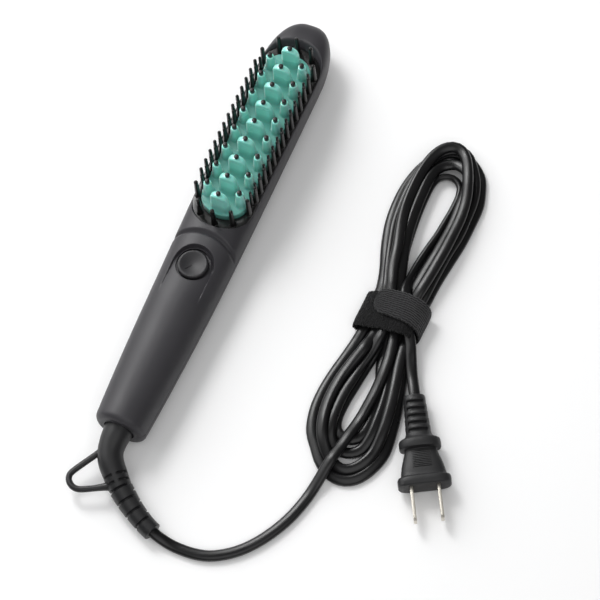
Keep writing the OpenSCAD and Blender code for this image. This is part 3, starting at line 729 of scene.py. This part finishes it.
# %% Model the back shell
# The dome's last rows are left out, where the body's underside comes up to the seam
low_dome = [row for row in dome_rows(0.12, 44) if outline(-np.pi / 2, row[0])[1] < 11.5]
rows = TAIL_ROWS + straight_rows(-109, DOME_Y, 3) + low_dome
back_shell = lofted("housing_back", loft_rings(rows, 120, 0.0, SHELL_EDGE, LIP))
INSIDE_DOME = np.arange(84, 113, 4)
carve_hollow(back_shell, [*np.arange(-111.9, DOME_Y, 6), *INSIDE_DOME])
carve_swivel_hole(back_shell)
# Each screw well: across, along, where its tube starts above the table, and its depth
WELLS = ((0, -83, 1, 5), (0, -15.5, 1, 5), (-9.5, -4.5, 5, 5), (9.5, -4.5, 5, 5), (0, 104, 5.6, 9))
for x, y, foot, depth in WELLS:
    carve(back_shell, rod("well", 3.4, (x, y, foot), depth + 1.5 - foot, 48), "UNION")
    carve(back_shell, rod("well", 2.4, (x, y, -1), depth + 1, 48))
smooth(back_shell, 35)
dress(back_shell, "handset", "housing", CHARCOAL, "back_shell")

# %% [markdown]
# ## The handle cover
# The cover's rows run straight across at the tail and bend, row by row, into the arc where it
# meets the head cover, so its end edge is one clean ring. The last rows sink it into the
# groove on a soft slope. The thumb recess is pressed into the same surface: its floor sinks
# evenly towards the head, and its wall follows a half round and two straight sides that fade
# out at the tail end.

# %% Model the handle cover
ARC_TAIL = 25.35
rows = TAIL_ROWS + straight_rows(-110, -64, 2.5)
rows += [(-64, ARC_TAIL - 1.1, k, 0) for k in np.linspace(0, 1, 215)]
rows += soft_lip(ARC_TAIL, 1.1, 0.5, 8, -1)[1:]


def press_recess(rings):
    """Sinks the thumb recess into the handle cover's surface."""
    x, y, z = rings[..., 0], rings[..., 1], rings[..., 2]
    out = np.hypot(x, np.clip(y - BUTTON_Y, 0, None))
    wall = smooth_step((10.0 - out) / 0.6 + 0.5)
    floor = 1.45 * (1 - (1 - np.clip((y + 47) / 28, 0, 1)) ** 1.8)
    crease = 0.95 * np.exp(-((out - 9.3) / 0.42) ** 2) * smooth_step((y + 32) / 8)
    rings[..., 2] = np.where(z > 18, z - (floor + crease) * wall, z)
    return rings


rings = press_recess(cover_rings(rows))
handle_cover = lofted("housing_handle_cover", np.concatenate([rings, end_wall(rings[-1])]))
carve_hollow(handle_cover, [*np.arange(-111.9, -15, 4), -15], 5, 21.6)
carve_swivel_hole(handle_cover)
carve(handle_cover, rod("ring_groove", 8.45, (0, BUTTON_Y, 22.0), 6, 96))
carve(handle_cover, rod("button_hole", 7.48, (0, BUTTON_Y, 17), 12, 96))
smooth(handle_cover, 42)
tongue = lofted("tongue", loft_rings([(0, r, 1.0, 1.5) for r in (22.0, 23.5, 25.0, 26.6)], 96, COVER_EDGE))
handle_cover = join("housing_handle_cover", [handle_cover, smooth(tongue, 42)])
dress(handle_cover, "handset", "housing", CHARCOAL, "handle_cover")

# %% [markdown]
# ## The head cover
# The head cover starts at the other lip of the groove and ends in the dome. Round the bristle
# field its surface falls away on a slope to the frame's level. Taking the lower of the body
# and that slope, with the crossing rounded, gives the soft sunk rim of the real moulding.

# %% Model the head cover
ARC_HEAD = 25.75
# The bristle frame's oval: its half width, its half length and the length of its rounded end
FRAME_HALF_W, FRAME_HALF_L, FRAME_END = 15.1, 52.6, 12.4


def rim_slope(x, y):
    """Height of the slope round the field, 22 mm at the frame and rising outwards."""
    dy = np.abs(y - FIELD_Y)
    far = smooth_step((y - 5) / 40)
    low, high = np.zeros_like(x), np.full_like(x, 1.6)
    for _ in range(26):
        s = (low + high) / 2
        w = FRAME_HALF_W + (1.6 + 3.4 * far) * s
        length = FRAME_HALF_L + (0.9 + 2.6 * far) * s
        end = FRAME_END + (0.9 + 2.2 * far) * s
        beyond = np.clip(dy - (length - end), 0, None)
        outside = (x / w) ** 2 + (beyond / end) ** 2 > 1
        low, high = np.where(outside, s, low), np.where(outside, high, s)
    return 22 + 5 * (low + high) / 2


def soft_lower(a, b, k):
    h = np.clip(0.5 + 0.5 * (b - a) / k, 0, 1)
    return b * (1 - h) + a * h - k * h * (1 - h)


rows = soft_lip(ARC_HEAD, 2.3, 1.3, 14, 1)[::-1][:-1]
rows += [(22, ARC_HEAD + 2.3, 1 - k, 0) for k in np.linspace(0, 1, 84)]
rows += straight_rows(22.7, 83.5, 0.7) + dome_rows(0.2, 52)
rings = cover_rings(rows)
x, y, z = rings[..., 0], rings[..., 1], rings[..., 2]
rings[..., 2] = np.where(z > 14, soft_lower(z, rim_slope(x, y), 0.8), z)
head_cover = lofted("housing_head_cover", np.concatenate([end_wall(rings[0]), rings]))
carve_hollow(head_cover, [*np.arange(-8, DOME_Y, 5), *INSIDE_DOME], 5, 19)
carve(head_cover, oval_block("field_opening", 13.5, 51.1, 11, 15, 40))
carve(head_cover, oval_block("frame_seat", 15.28, 52.78, 12.58, 20.55, 40))
smooth(head_cover, 42)
dress(head_cover, "handset", "housing", CHARCOAL, "head_cover")

# %% [markdown]
# ## The power button
# The cap is turned like a knob: a retaining flange under the cover, a rounded edge, and a
# dished face that guides the thumb. One fine engraved mark sits in the dish.

# %% Model the button
def turned(name, profile, sides, at=(0, 0, 0)):
    """A round piece from a profile of (radius, height), about an upright axis."""
    a = full_turn(sides)
    return lofted(name, np.array([np.column_stack([at[0] + r * np.cos(a), at[1] + r * np.sin(a),
                                                   np.full(sides + 1, at[2] + z)]) for r, z in profile]))


def arc(radius, centre, start, end, steps):
    return [(centre[0] + radius * math.cos(math.radians(a)), centre[1] + radius * math.sin(math.radians(a)))
            for a in np.linspace(start, end, steps)]


cap_profile = [(0, 19.6), (8.7, 19.6), (8.7, 20.6), (7.4, 20.6), (7.4, 22.5)]
cap_profile += arc(0.9, (6.5, 23.9), 0, 90, 8)
cap_profile += [(6.3 * k, 24.8 - 1.1 * (1 - k ** 2) ** 1.3) for k in np.linspace(0.96, 0, 16)]
button = turned("power_button", cap_profile, 96, (0, BUTTON_Y, 0))
mark = block("mark", (0.2, -0.16, 23.55), (4.4, 0.16, 26))
mark.rotation_euler.z = math.radians(-122)
mark.location = Vector((0, BUTTON_Y, 0)) * MM
carve(button, settle_place(mark))
smooth(button, 35)
dress(button, "button", "housing", BUTTON_SHADED_CHARCOAL, "power_button")

# %% [markdown]
# ## The bristle frame
# A glossy black band runs round the plate. Thin bristles stand on it in two staggered rows a
# side, and ten thick ones stand round its two ends. One bristle of each kind is turned, with a
# small fillet at its foot and a round tip, and copied to its places.

# %% Model the frame and the bristles
# The band's section: how far in from its outer edge, as a share of its width, and its height
SECTION = ((0, 20.62), (0, 21.7), (0.02, 21.92), (0.07, 22.0), (0.5, 21.9), (0.93, 22.0), (0.98, 21.92),
           (1, 21.7), (1, 20.62), (0, 20.62))
band = [oval(FRAME_HALF_W - 3.2 * w, FRAME_HALF_L - 5.6 * w, FRAME_END - 3.0 * w, z, 160) for w, z in SECTION]
frame_band = smooth(lofted("frame_band", np.array(band)), 40)


def bristle(name, foot, tip, top, sides=14):
    ball = [(tip * math.cos(a), top - tip + tip * math.sin(a)) for a in np.linspace(0.2, np.pi / 2, 6)]
    stem = [(0, 21.3), (foot + 0.45, 21.3), (foot + 0.45, 21.95), (foot + 0.12, 22.15), (foot, 22.6),
            (foot * 0.55 + tip * 0.45, 28), (tip, top - tip)]
    return smooth(turned(name, stem + ball, sides), 40)


STEP = 5.3
outer = [(s * 14, FIELD_Y + k * STEP, 0) for s in (-1, 1) for k in range(-6, 7)]
inner = [(s * 12.7, FIELD_Y + (k + 0.5) * STEP, 0) for s in (-1, 1) for k in range(-7, 7)]
ends = [(s * x, FIELD_Y + e * y, 0) for s in (-1, 1) for e in (-1, 1) for x, y in ((13.4, 39.2), (8.5, 47.6))]
ends += [(0, FIELD_Y + e * 50.2, 0) for e in (-1, 1)]
bristle_frame = join("bristle_frame_dressed", [
    frame_band,
    copy_to(bristle("outer_bristle", 1.15, 0.84, 36.0), outer, "outer_bristles"),
    copy_to(bristle("inner_bristle", 1.0, 0.72, 35.0), inner, "inner_bristles"),
    copy_to(bristle("end_bristle", 1.35, 1.02, 36.0, 18), ends, "end_bristles")])
dress(bristle_frame, "handset", "bristles", BRISTLE_BLACK, "bristle_frame")

# %% [markdown]
# ## The heating plate
# The ceramic plate is one casting: an oval bed with a rounded rim, nine fins down the middle
# and sixteen cones beside them. A fin is a slim upright paddle. It's thickest at its foot, its
# faces are slightly hollow, and its top is arched across the brush with a soft edge.

# %% Model the plate, a fin and a cone
bed_rows = [(0, 20.0), (0, 24.4)]
bed_rows += [(0.6 - 0.6 * math.cos(a), 24.4 + 0.6 * math.sin(a)) for a in np.linspace(0.25, np.pi / 2, 6)]
bed_rows += [(inset, 25.0) for inset in (2.0, 4.5, 7.0)]
bed_rings = [oval(11.6 - inset, 46.7 - inset, 9.2 - inset, z, 128) for inset, z in bed_rows]
bed = smooth(lofted("plate_bed", np.array(bed_rings)), 40)


def fin_ring(inset, drop, level):
    """One ring of a fin: set in from its side, below its arched top by drop, at a level from 0
    at the foot to 1 at the top."""
    a = full_turn(56)
    half_thick = 3.1 - 1.35 * level ** 0.8
    x = (4.6 - inset) * power(np.cos(a), 2.6)
    y = (half_thick - inset) * power(np.sin(a), 2.6)
    hollow = 0.24 * (1 - np.clip(np.abs(x) / 3.4, 0, 1) ** 2)
    y = y * (1 - hollow * smooth_step((0.97 - level) * 5) * smooth_step(level * 4))
    arch = 32.2 + 5.5 * np.clip(1 - np.abs(x / 4.72) ** 2.4, 0, 1) ** (1 / 2.4)
    z = FIN_FOOT + (arch - drop - FIN_FOOT) * level
    return np.column_stack([x, y, z])


FIN_FOOT = 24.7
FIN_PITCH = 10.6
SOFT = 0.85
fin_rows = [fin_ring(inset, SOFT, level) for inset, level in ((-0.75, 0.015), (-0.35, 0.04), (-0.1, 0.08))]
fin_rows += [fin_ring(0, SOFT, level) for level in np.linspace(0.13, 0.9, 11)]
fin_rows += [fin_ring(SOFT * (1 - math.cos(a)), SOFT * (1 - math.sin(a)), 1.0)
             for a in np.linspace(0, np.pi / 2, 8)]
fin_rows += [fin_ring(inset, 0, 1.0) for inset in (1.15, 1.5, 1.7)]
fin = smooth(lofted("fin", np.array(fin_rows)), 60)
FINS = [(0, FIELD_Y + FIN_PITCH * k, 0) for k in range(-4, 5)]
fins = copy_to(fin, FINS, "fins")
cone_profile = [(0, 24.6), (3.3, 24.6), (3.3, 25.0), (2.95, 25.12), (2.75, 25.5), (2.68, 26.2),
                (2.3, 30), (1.95, 33.8)]
cone_profile += arc(0.45, (1.45, 34.25), 10, 90, 6) + [(1.15, 34.7), (1.05, 34.5), (0, 34.5)]
cone = smooth(turned("cone", cone_profile, 32), 60)
CONES = [(s * 8.4, FIELD_Y + (k + 0.5) * FIN_PITCH, 0) for s in (-1, 1) for k in range(-4, 4)]
cones = copy_to(cone, CONES, "cones")
plate = join("heating_plate_dressed", [bed, fins, cones])
dress(plate, "handset", "ceramic_coat", MINT, "heating_plate")


def tip_profile(foot, top):
    bead = arc(0.4, (0.82, top - 0.4), -20, 90, 6)
    return [(0, foot), (1.05, foot), (1.05, top - 1.0)] + bead + [(0, top)]


for name, places, foot, top in (("fin_tips", FINS, 35.5, 39.3), ("cone_tips", CONES, 33.0, 36.7)):
    tip = smooth(turned("tip", tip_profile(foot, top), 24), 60)
    dress(copy_to(tip, places, name + "_dressed"), "handset", "bristles", BRISTLE_BLACK, name)

# %% [markdown]
# ## The cord boot
# The boot swivels in the tail, leans over and comes down to the table. It slims towards the
# cord. Two pairs of short slots come first, then grooves from either side in turn, which let
# it bend evenly. The hanging loop is moulded on its outer side.

# %% Model the boot and its loop
BOOT = [
    (0, -113.1, 12.5), (-0.2, -118, 12.1), (-0.1, -122, 11.5), (0.6, -126, 10.8), (2.6, -130, 10),
    (6.2, -134, 9.1), (11, -138.9, 8), (15, -142.1, 7.2), (19.5, -145.3, 6.4), (24.6, -148.4, 5.7),
    (29.5, -150.9, 5.1), (33.8, -152.7, 4.7)]
fine = smooth_path(BOOT, 24)
along_boot = distance_along(fine)
boot_length = along_boot[-1]
GROOVES = (31.6, 38.0, 44.4, 50.8)
FAR_GROOVES = (34.9, 41.3, 47.7)
SLOTS = (24.9, 28.3)
stops = set(np.arange(0, boot_length, 0.9).round(2)) | {round(boot_length - d, 2) for d in (0, 0.12, 0.35)}
for middle in GROOVES + FAR_GROOVES + SLOTS:
    stops |= {round(middle + d, 2) for d in (-0.95, -0.72, -0.6, -0.3, 0.3, 0.6, 0.72, 0.95)}
stops = np.array(sorted(stops))
boot_path = resampled(fine, along_boot, stops)


def ring_round(path, radii, sides):
    """Rings round a path. A ring's radius is a number, or one number for each angle round it."""
    a = full_turn(sides)
    return np.array([p + np.outer(radius * np.cos(a), c) + np.outer(radius * np.sin(a), v)
                     for p, c, v, radius in zip(path, *frames(path), radii)])


BOOT_SIDES = 72
angles = full_turn(BOOT_SIDES)
sizes = []
for stop in stops:
    u = stop / boot_length
    radius = 7 - 0.9 * float(smooth_step(u / 0.25)) - 1.75 * float(smooth_step((u - 0.25) / 0.75))
    if stop > GROOVES[0]:
        radius += 0.28
    size = np.full(BOOT_SIDES + 1, radius)
    for middles, turn in ((GROOVES, 2.4 - np.pi), (FAR_GROOVES, 2.4)):
        for middle in middles:
            depth = 1.15 * (1 - smooth_step((abs(stop - middle) - 0.5) / 0.24))
            size = size - depth * smooth_step((np.sin(angles - turn) - 0.12) / 0.1)
    for middle in SLOTS:
        depth = 0.95 * (1 - smooth_step((abs(stop - middle) - 0.5) / 0.24))
        spine = smooth_step((np.abs(np.cos(angles + 0.1)) - 0.16) / 0.1)
        size = size - depth * (spine * smooth_step((0.93 - np.abs(np.cos(angles))) / 0.08))
    if stop > boot_length - 0.4:
        size = size - 0.35 * (1 - math.sqrt(max(0, 1 - ((stop - boot_length + 0.4) / 0.4) ** 2)))
    sizes.append(size)
boot_tube = smooth(lofted("boot_tube", ring_round(boot_path, sizes, BOOT_SIDES)), 38)
loop_points = smooth_path([
    (-2.5, -125.2, 9.9), (-5.1, -128.7, 9.6), (-8.6, -134.1, 8.9), (-11.8, -139.3, 8.3),
    (-13.0, -142.2, 8.1), (-12.4, -144.8, 8), (-10.4, -146.8, 8), (-7.7, -147.6, 8), (-4.6, -146.9, 8),
    (0.7, -144.1, 8), (7.5, -140.1, 8)], 6)
run_out = np.linspace(0, 1, len(loop_points))
loop_sizes = 1.5 + 1.1 * np.clip(1 - run_out / 0.14, 0, 1) ** 2
loop_sizes += 0.9 * np.clip(1 - (1 - run_out) / 0.12, 0, 1) ** 2
loop = smooth(lofted("loop", ring_round(loop_points, loop_sizes, 24)), 60)
nose = rod("nose", 4.15, (0, -105.2, SWIVEL_Z), 8.5, 48, (0, -1, 0))
boot = join("cord_boot_dressed", [boot_tube, loop, smooth(nose, 40)])
dress(boot, "cord_side", "cord_fittings", BOOT_BLACK, "cord_boot")

# %% [markdown]
# ## The plug
# The plug is drawn along its own line, from its face back to the cord. Stations give its half
# width and half height: a flange, a body that tapers to a collar, and a ribbed relief. The
# ribs are full rounds on top and underneath, and the sides between them stay solid.

# %% Model the plug body
PLUG_AT = (141.8, -85.6, 6.4)
PLUG_COS, PLUG_SIN = math.cos(math.radians(29)), math.sin(math.radians(29))
BLADE_OFFSET = 6.35


def at_plug(points):
    """Points in the plug's frame (across, back from the face, up) moved to where it lies."""
    x, s, z = points[..., 0], points[..., 1], points[..., 2]
    return np.stack([PLUG_AT[0] + x * PLUG_COS - s * PLUG_SIN,
                     PLUG_AT[1] + x * PLUG_SIN + s * PLUG_COS, z + PLUG_AT[2]], -1)


def across_plug(name, points, low, high):
    """A piece with its section drawn along the plug, from one place across it to another."""
    return lofted(name, at_plug(np.array([[(x, *point) for point in points] for x in (low, high)])))


GAP_HEIGHT = 3.3
# The plug's stations: how far back from its face, half width, half height and squareness
PLUG = [
    (0, 11.4, 5.0, 3.6), (0.25, 11.9, 5.55, 3.6), (0.8, 12.4, 5.95, 3.6), (2.4, 12.5, 6.1, 3.6),
    (3.6, 12.5, 6.1, 3.6), (4.3, 12.2, 5.9, 3.6), (4.75, 11.6, 5.5, 3.4), (5.0, 11.0, 5.15, 3.4),
    (5.6, 10.7, 5.0, 3.2), (7.0, 10.5, 5.0, 3.2), (10, 9.9, 4.85, 3.2), (12.5, 9.2, 4.55, 3.2),
    (15, 8.4, 4.1, 3), (17.2, 7.8, 3.65, 2.8), (18.3, 7.6, 3.45, 2.8), (18.6, 7.8, 3.6, 2.5),
    (18.8, 8.9, 5.1, 2.4), (19.1, 9.6, 5.9, 2.4), (19.6, 9.8, 6.2, 2.4), (22.4, 9.8, 6.2, 2.4),
    (23.1, 9.6, 6.05, 2.4), (23.7, 8.8, 5.6, 2.4), (24.3, 7.4, 5.2, 2.3), (25.4, 6.4, 5.0, 2.2),
    (26.4, 6.1, 4.9, 2.2)]
# A gap and a rib of the relief, as steps back and half heights. A gap's height is negative
RIB = ((0, -GAP_HEIGHT), (1.15, -GAP_HEIGHT), (1.45, 4.6), (1.8, 4.9), (2.8, 4.9), (3.25, 4.6))
for k in range(5):
    s, f = 26.9 + 3.6 * k, 1 - 0.03 * k
    PLUG += [(s + back, 5.9 * f, h * f, 2.3) for back, h in RIB]
PLUG += [(45.1, 5.1, 4.1, 2.2), (45.6, 4.9, 3.9, 2.2), (45.8, 4.6, 3.6, 2.2)]
a = full_turn(96)
rings = []
for s, w, h, n in PLUG:
    x = w * power(np.cos(a), n)
    z = abs(h) * power(np.sin(a), n)
    if h < 0:
        side_height = 4.7 * abs(h) / GAP_HEIGHT
        solid = smooth_step((np.abs(x) - w * 0.72) / (w * 0.06))
        z = z * (1 - solid) + side_height * power(np.sin(a), n) * solid
    rings.append(np.column_stack([x, np.full(len(a), s), z]))
plug_body = lofted("plug_body_dressed", at_plug(np.array(rings)))
stations = np.array(PLUG)
for up in (-1, 1):
    for s in 8.6 + 0.9 * np.arange(10):
        base = up * (np.interp(s, stations[:, 0], stations[:, 2]) - 0.4)
        groove = [(s, base), (s + 0.48, base), (s + 0.48, up * 6), (s, up * 6), (s, base)]
        carve(plug_body, across_plug("groove", groove, -4.4, 4.4))
slot = [(-0.78, -1), (0.78, -1), (0.78, 10), (-0.78, 10), (-0.78, -1)]
for s in (-1, 1):
    slot_rings = [[(s * BLADE_OFFSET + x, y, z) for x, y in slot] for z in (-3.2, 3.2)]
    carve(plug_body, lofted("blade_slot", at_plug(np.array(slot_rings))))
smooth(plug_body, 34)
dress(plug_body, "cord_side", "plug", PLUG_BLACK, "plug_body")

# %% [markdown]
# The two blades are stamped from brass strip and plated. Their free ends are chamfered, each
# has its round hole, and every edge is slightly broken.

# %% Model the blades
blades = []
edge = [(-16.5, -2.1), (-15.4, -3.17), (9.5, -3.17), (9.5, 3.17), (-15.4, 3.17), (-16.5, 2.1), (-16.5, -2.1)]
for s in (-1, 1):
    blade = across_plug("blade", edge, s * BLADE_OFFSET - 0.75, s * BLADE_OFFSET + 0.75)
    hole_at = at_plug(np.array([s * BLADE_OFFSET - 2, -13.1, 0.0]))
    carve(blade, rod("hole", 1.2, hole_at, 4, 40, (PLUG_COS, PLUG_SIN, 0)))
    blades.append(soften(blade, 0.16, 50))
plug_blades = join("plug_blades_dressed", blades)
dress(plug_blades, "cord_side", "blades", PLATED, "plug_blades")

# %% [markdown]
# ## The strap
# A hook-and-loop strap, 19 mm wide, ties the hank. It starts on top of the bundle, goes round
# it once under the cord, and its rounded end lies over its start, a little askew. Cut flat, it
# is one strip, so it is modelled as one strip of cloth: its line is drawn in the plane across
# the bundle, and its two edges wander slightly, as a worn woven edge does.

# %% The strap's cloth
def strap_cloth():
    """Woven tape on the side that shows, with its fuzzy loop side under the free end."""
    material, tree, shader = node_material("strap_cloth")
    place = add_node(tree, "UVMap").outputs["UV"]
    along = add_node(tree, "SeparateXYZ", Vector=place).outputs["Y"]
    on_tab = add_node(tree, "MapRange", Value=along, From_Min=0.42, From_Max=0.46).outputs["Result"]
    stretch = add_node(tree, "Mapping", Vector=place, Scale=(36.7, 94.0, 1.0))
    ribs = add_node(tree, "TexWave", Vector=stretch.outputs["Vector"], Scale=0.23, Distortion=3.2, Detail=2.0,
                    Detail_Scale=1.3).outputs["Fac"]
    spot = add_node(tree, "TexCoord").outputs["Object"]
    fuzz = add_node(tree, "TexNoise", Vector=spot, Scale=1500, Detail=4)
    height = add_node(tree, "Mix", Factor=on_tab, A=fuzz.outputs["Fac"], B=ribs)
    relief = add_node(tree, "Bump", Distance=0.5 * MM, Height=height.outputs["Result"])
    shade = add_node(tree, "MapRange", Value=ribs, To_Min=0.12)
    tab_tone = add_node(tree, "Math", ("operation", "MULTIPLY"))
    tree.links.new(on_tab, tab_tone.inputs[0])
    tree.links.new(shade.outputs["Result"], tab_tone.inputs[1])
    tone = add_node(tree, "Mix", ("data_type", "RGBA"), Factor=tab_tone.outputs[0],
                    A=(0.0035, 0.0035, 0.004, 1), B=(0.034, 0.034, 0.036, 1))
    set_inputs(tree, shader, Base_Color=tone.outputs["Result"], Normal=relief.outputs["Normal"],
               Roughness=0.85, Specular_IOR_Level=0.25, Sheen_Weight=0.12, Sheen_Roughness=0.5)
    return material


STRAP_CLOTH = strap_cloth()

# %% Model the strap
CLOTH = 1.15
WRAP = [
    (107.2, 8.6), (105.4, 10.6), (102, 11.8), (98, 11.7), (93, 10.6), (87, 9.5), (82.4, 8.0), (79.2, 5.6),
    (78.6, 2.7), (80.6, 0.8), (86, 0.62), (94, 0.62), (102, 0.62), (107.2, 0.75), (109.6, 2.1),
    (110.3, 4.6), (109.7, 7.8), (107.4, 11.2), (104, 13.3), (100, 13.6), (96, 12.9), (92, 11.9),
    (88, 10.9), (83.8, 9.9)]
line = smooth_path(WRAP, 10)
along_wrap = distance_along(line)
wrap_length = along_wrap[-1]
stations = np.linspace(0, wrap_length, 421)
line = resampled(line, along_wrap, stations)
share = stations / wrap_length
# Where the strap's two edges are along the brush, at some shares of its length
EDGES = np.array([(0, -3.4, -19.6), (0.24, -2.6, -21.6), (0.34, -3.2, -21.6), (0.54, -3.6, -20.4),
                  (0.64, -3.4, -18.6), (0.74, -1.2, -15.8), (0.84, -0.3, -14.4), (1, 0.0, -13.4)])
upper_edge, lower_edge = (np.interp(share, EDGES[:, 0], EDGES[:, k]) for k in (1, 2))
wander = 0.16 * np.sin(stations * 2.9) + 0.12 * np.sin(stations * 5.3 + 1)
wander += 0.08 * np.sin(stations * 11.7 + 2)
END_ROUND = 7.0
to_end = np.clip((stations - (wrap_length - END_ROUND)) / END_ROUND, 0, 0.995)
rounding = 1 - (1 - to_end ** 2.4) ** (1 / 2.4)
middle = (upper_edge + lower_edge) / 2
half = (upper_edge - lower_edge) / 2 * (1 - rounding)
# A ring round the cloth: over its outer face, then back under its inner one
COLUMNS = 29
across_strap = np.concatenate([np.linspace(-1, 1, COLUMNS), np.linspace(1, -1, COLUMNS), [-1]])
face = np.concatenate([np.ones(COLUMNS), -np.ones(COLUMNS), [1]])
rings = []
for (x, z), (tx, tz), m, h, w in zip(line, heading(line), middle, half, wander):
    off = CLOTH / 2 * (1 - 0.55 * np.abs(across_strap) ** 14) * face
    off = off + 0.18 * np.cos(across_strap * 2.2 + x * 0.5)
    rings.append(np.column_stack([x + tz * off, m + across_strap * (h + w * (h > 3)), z - tx * off]))
rings = np.array(rings)
# The loop pile stands up a little from the inner length of the strap, most of all at its edges
pile = np.random.default_rng(7).normal(0, 0.11, rings.shape)
pile *= (1 - smooth_step((share - 0.3) / 0.05))[:, None, None]
pile[:, -1] = pile[:, 0]
rings += pile * (1 + 0.9 * (np.abs(across_strap) > 0.97))[None, :, None]
rings[..., 2] = np.clip(rings[..., 2], 0.03, None)
strap = smooth(lofted("hank_strap_dressed", rings), 50)
dress(strap, "cord_side", "strap", STRAP_CLOTH, "hank_strap")

# %% [markdown]
# ## The parts inside
# The parts inside keep their construction shapes, which are exact already. Each still gets the
# finish of its own trade, because the object may be looked at with its covers off.

# %% Finish the parts inside
STEEL = finish("zinc_plated_steel", (0.46, 0.47, 0.49), (0.60, 0.61, 0.62),
               (0.28, 0.42), 500, 0.003, Metallic=1.0)
BRASS = finish("brass", (0.60, 0.43, 0.17), (0.70, 0.52, 0.24), (0.26, 0.40), 600, 0.003, Metallic=1.0)
ALLOY = finish("heater_alloy", (0.50, 0.50, 0.51), (0.60, 0.60, 0.60), (0.42, 0.56), 700, 0.006, Metallic=1.0)
INSULATION = finish("mica_sheet", (0.30, 0.21, 0.12), (0.42, 0.31, 0.19), (0.40, 0.62), 300, 0.010, 160)
GLASS_BEAD = finish("glazed_bead", (0.14, 0.04, 0.015), (0.20, 0.06, 0.02),
                    (0.12, 0.20), 900, 0.002, Coat_Weight=0.6)
BOARD = finish("board_green", (0.018, 0.095, 0.045), (0.032, 0.135, 0.062), (0.32, 0.46), 900, 0.006, 120)
COMPONENT = finish("component_black", (0.010, 0.010, 0.011), (0.018, 0.018, 0.019), (0.42, 0.58), 1300, 0.008)
CAPACITOR = finish("capacitor_case", (0.34, 0.035, 0.025), (0.42, 0.055, 0.035), (0.26, 0.38), 900, 0.004)
NATURAL = finish("natural_acetal", (0.70, 0.69, 0.65), (0.78, 0.77, 0.73), (0.34, 0.46), 900, 0.004)
WIRE = finish("wire_insulation", (0.32, 0.05, 0.035), (0.42, 0.08, 0.05), (0.36, 0.50), 900, 0.004)
INSIDE = (
    (STEEL, "shell_screws", "clamp_screws", "board_screws", "retainer_clip", "heater_clamp", "thermal_fuse"),
    (BRASS, "contact_springs", "contact_rings"), (ALLOY, "ptc_heater"), (INSULATION, "insulation_sheet"),
    (GLASS_BEAD, "thermistor"), (BOARD, "circuit_board"), (CAPACITOR, "film_capacitor"),
    (COMPONENT, "triac", "tactile_switch", "swivel_sleeve", "tail_bearing"),
    (NATURAL, "switch_plunger"), (WIRE, "heater_wires", "mains_wires"))
for material, *names in INSIDE:
    for name in names:
        nodes[name].data.materials.clear()
        nodes[name].data.materials.append(material)
print("parts inside:", sum(len(names) for _, *names in INSIDE), "finished")
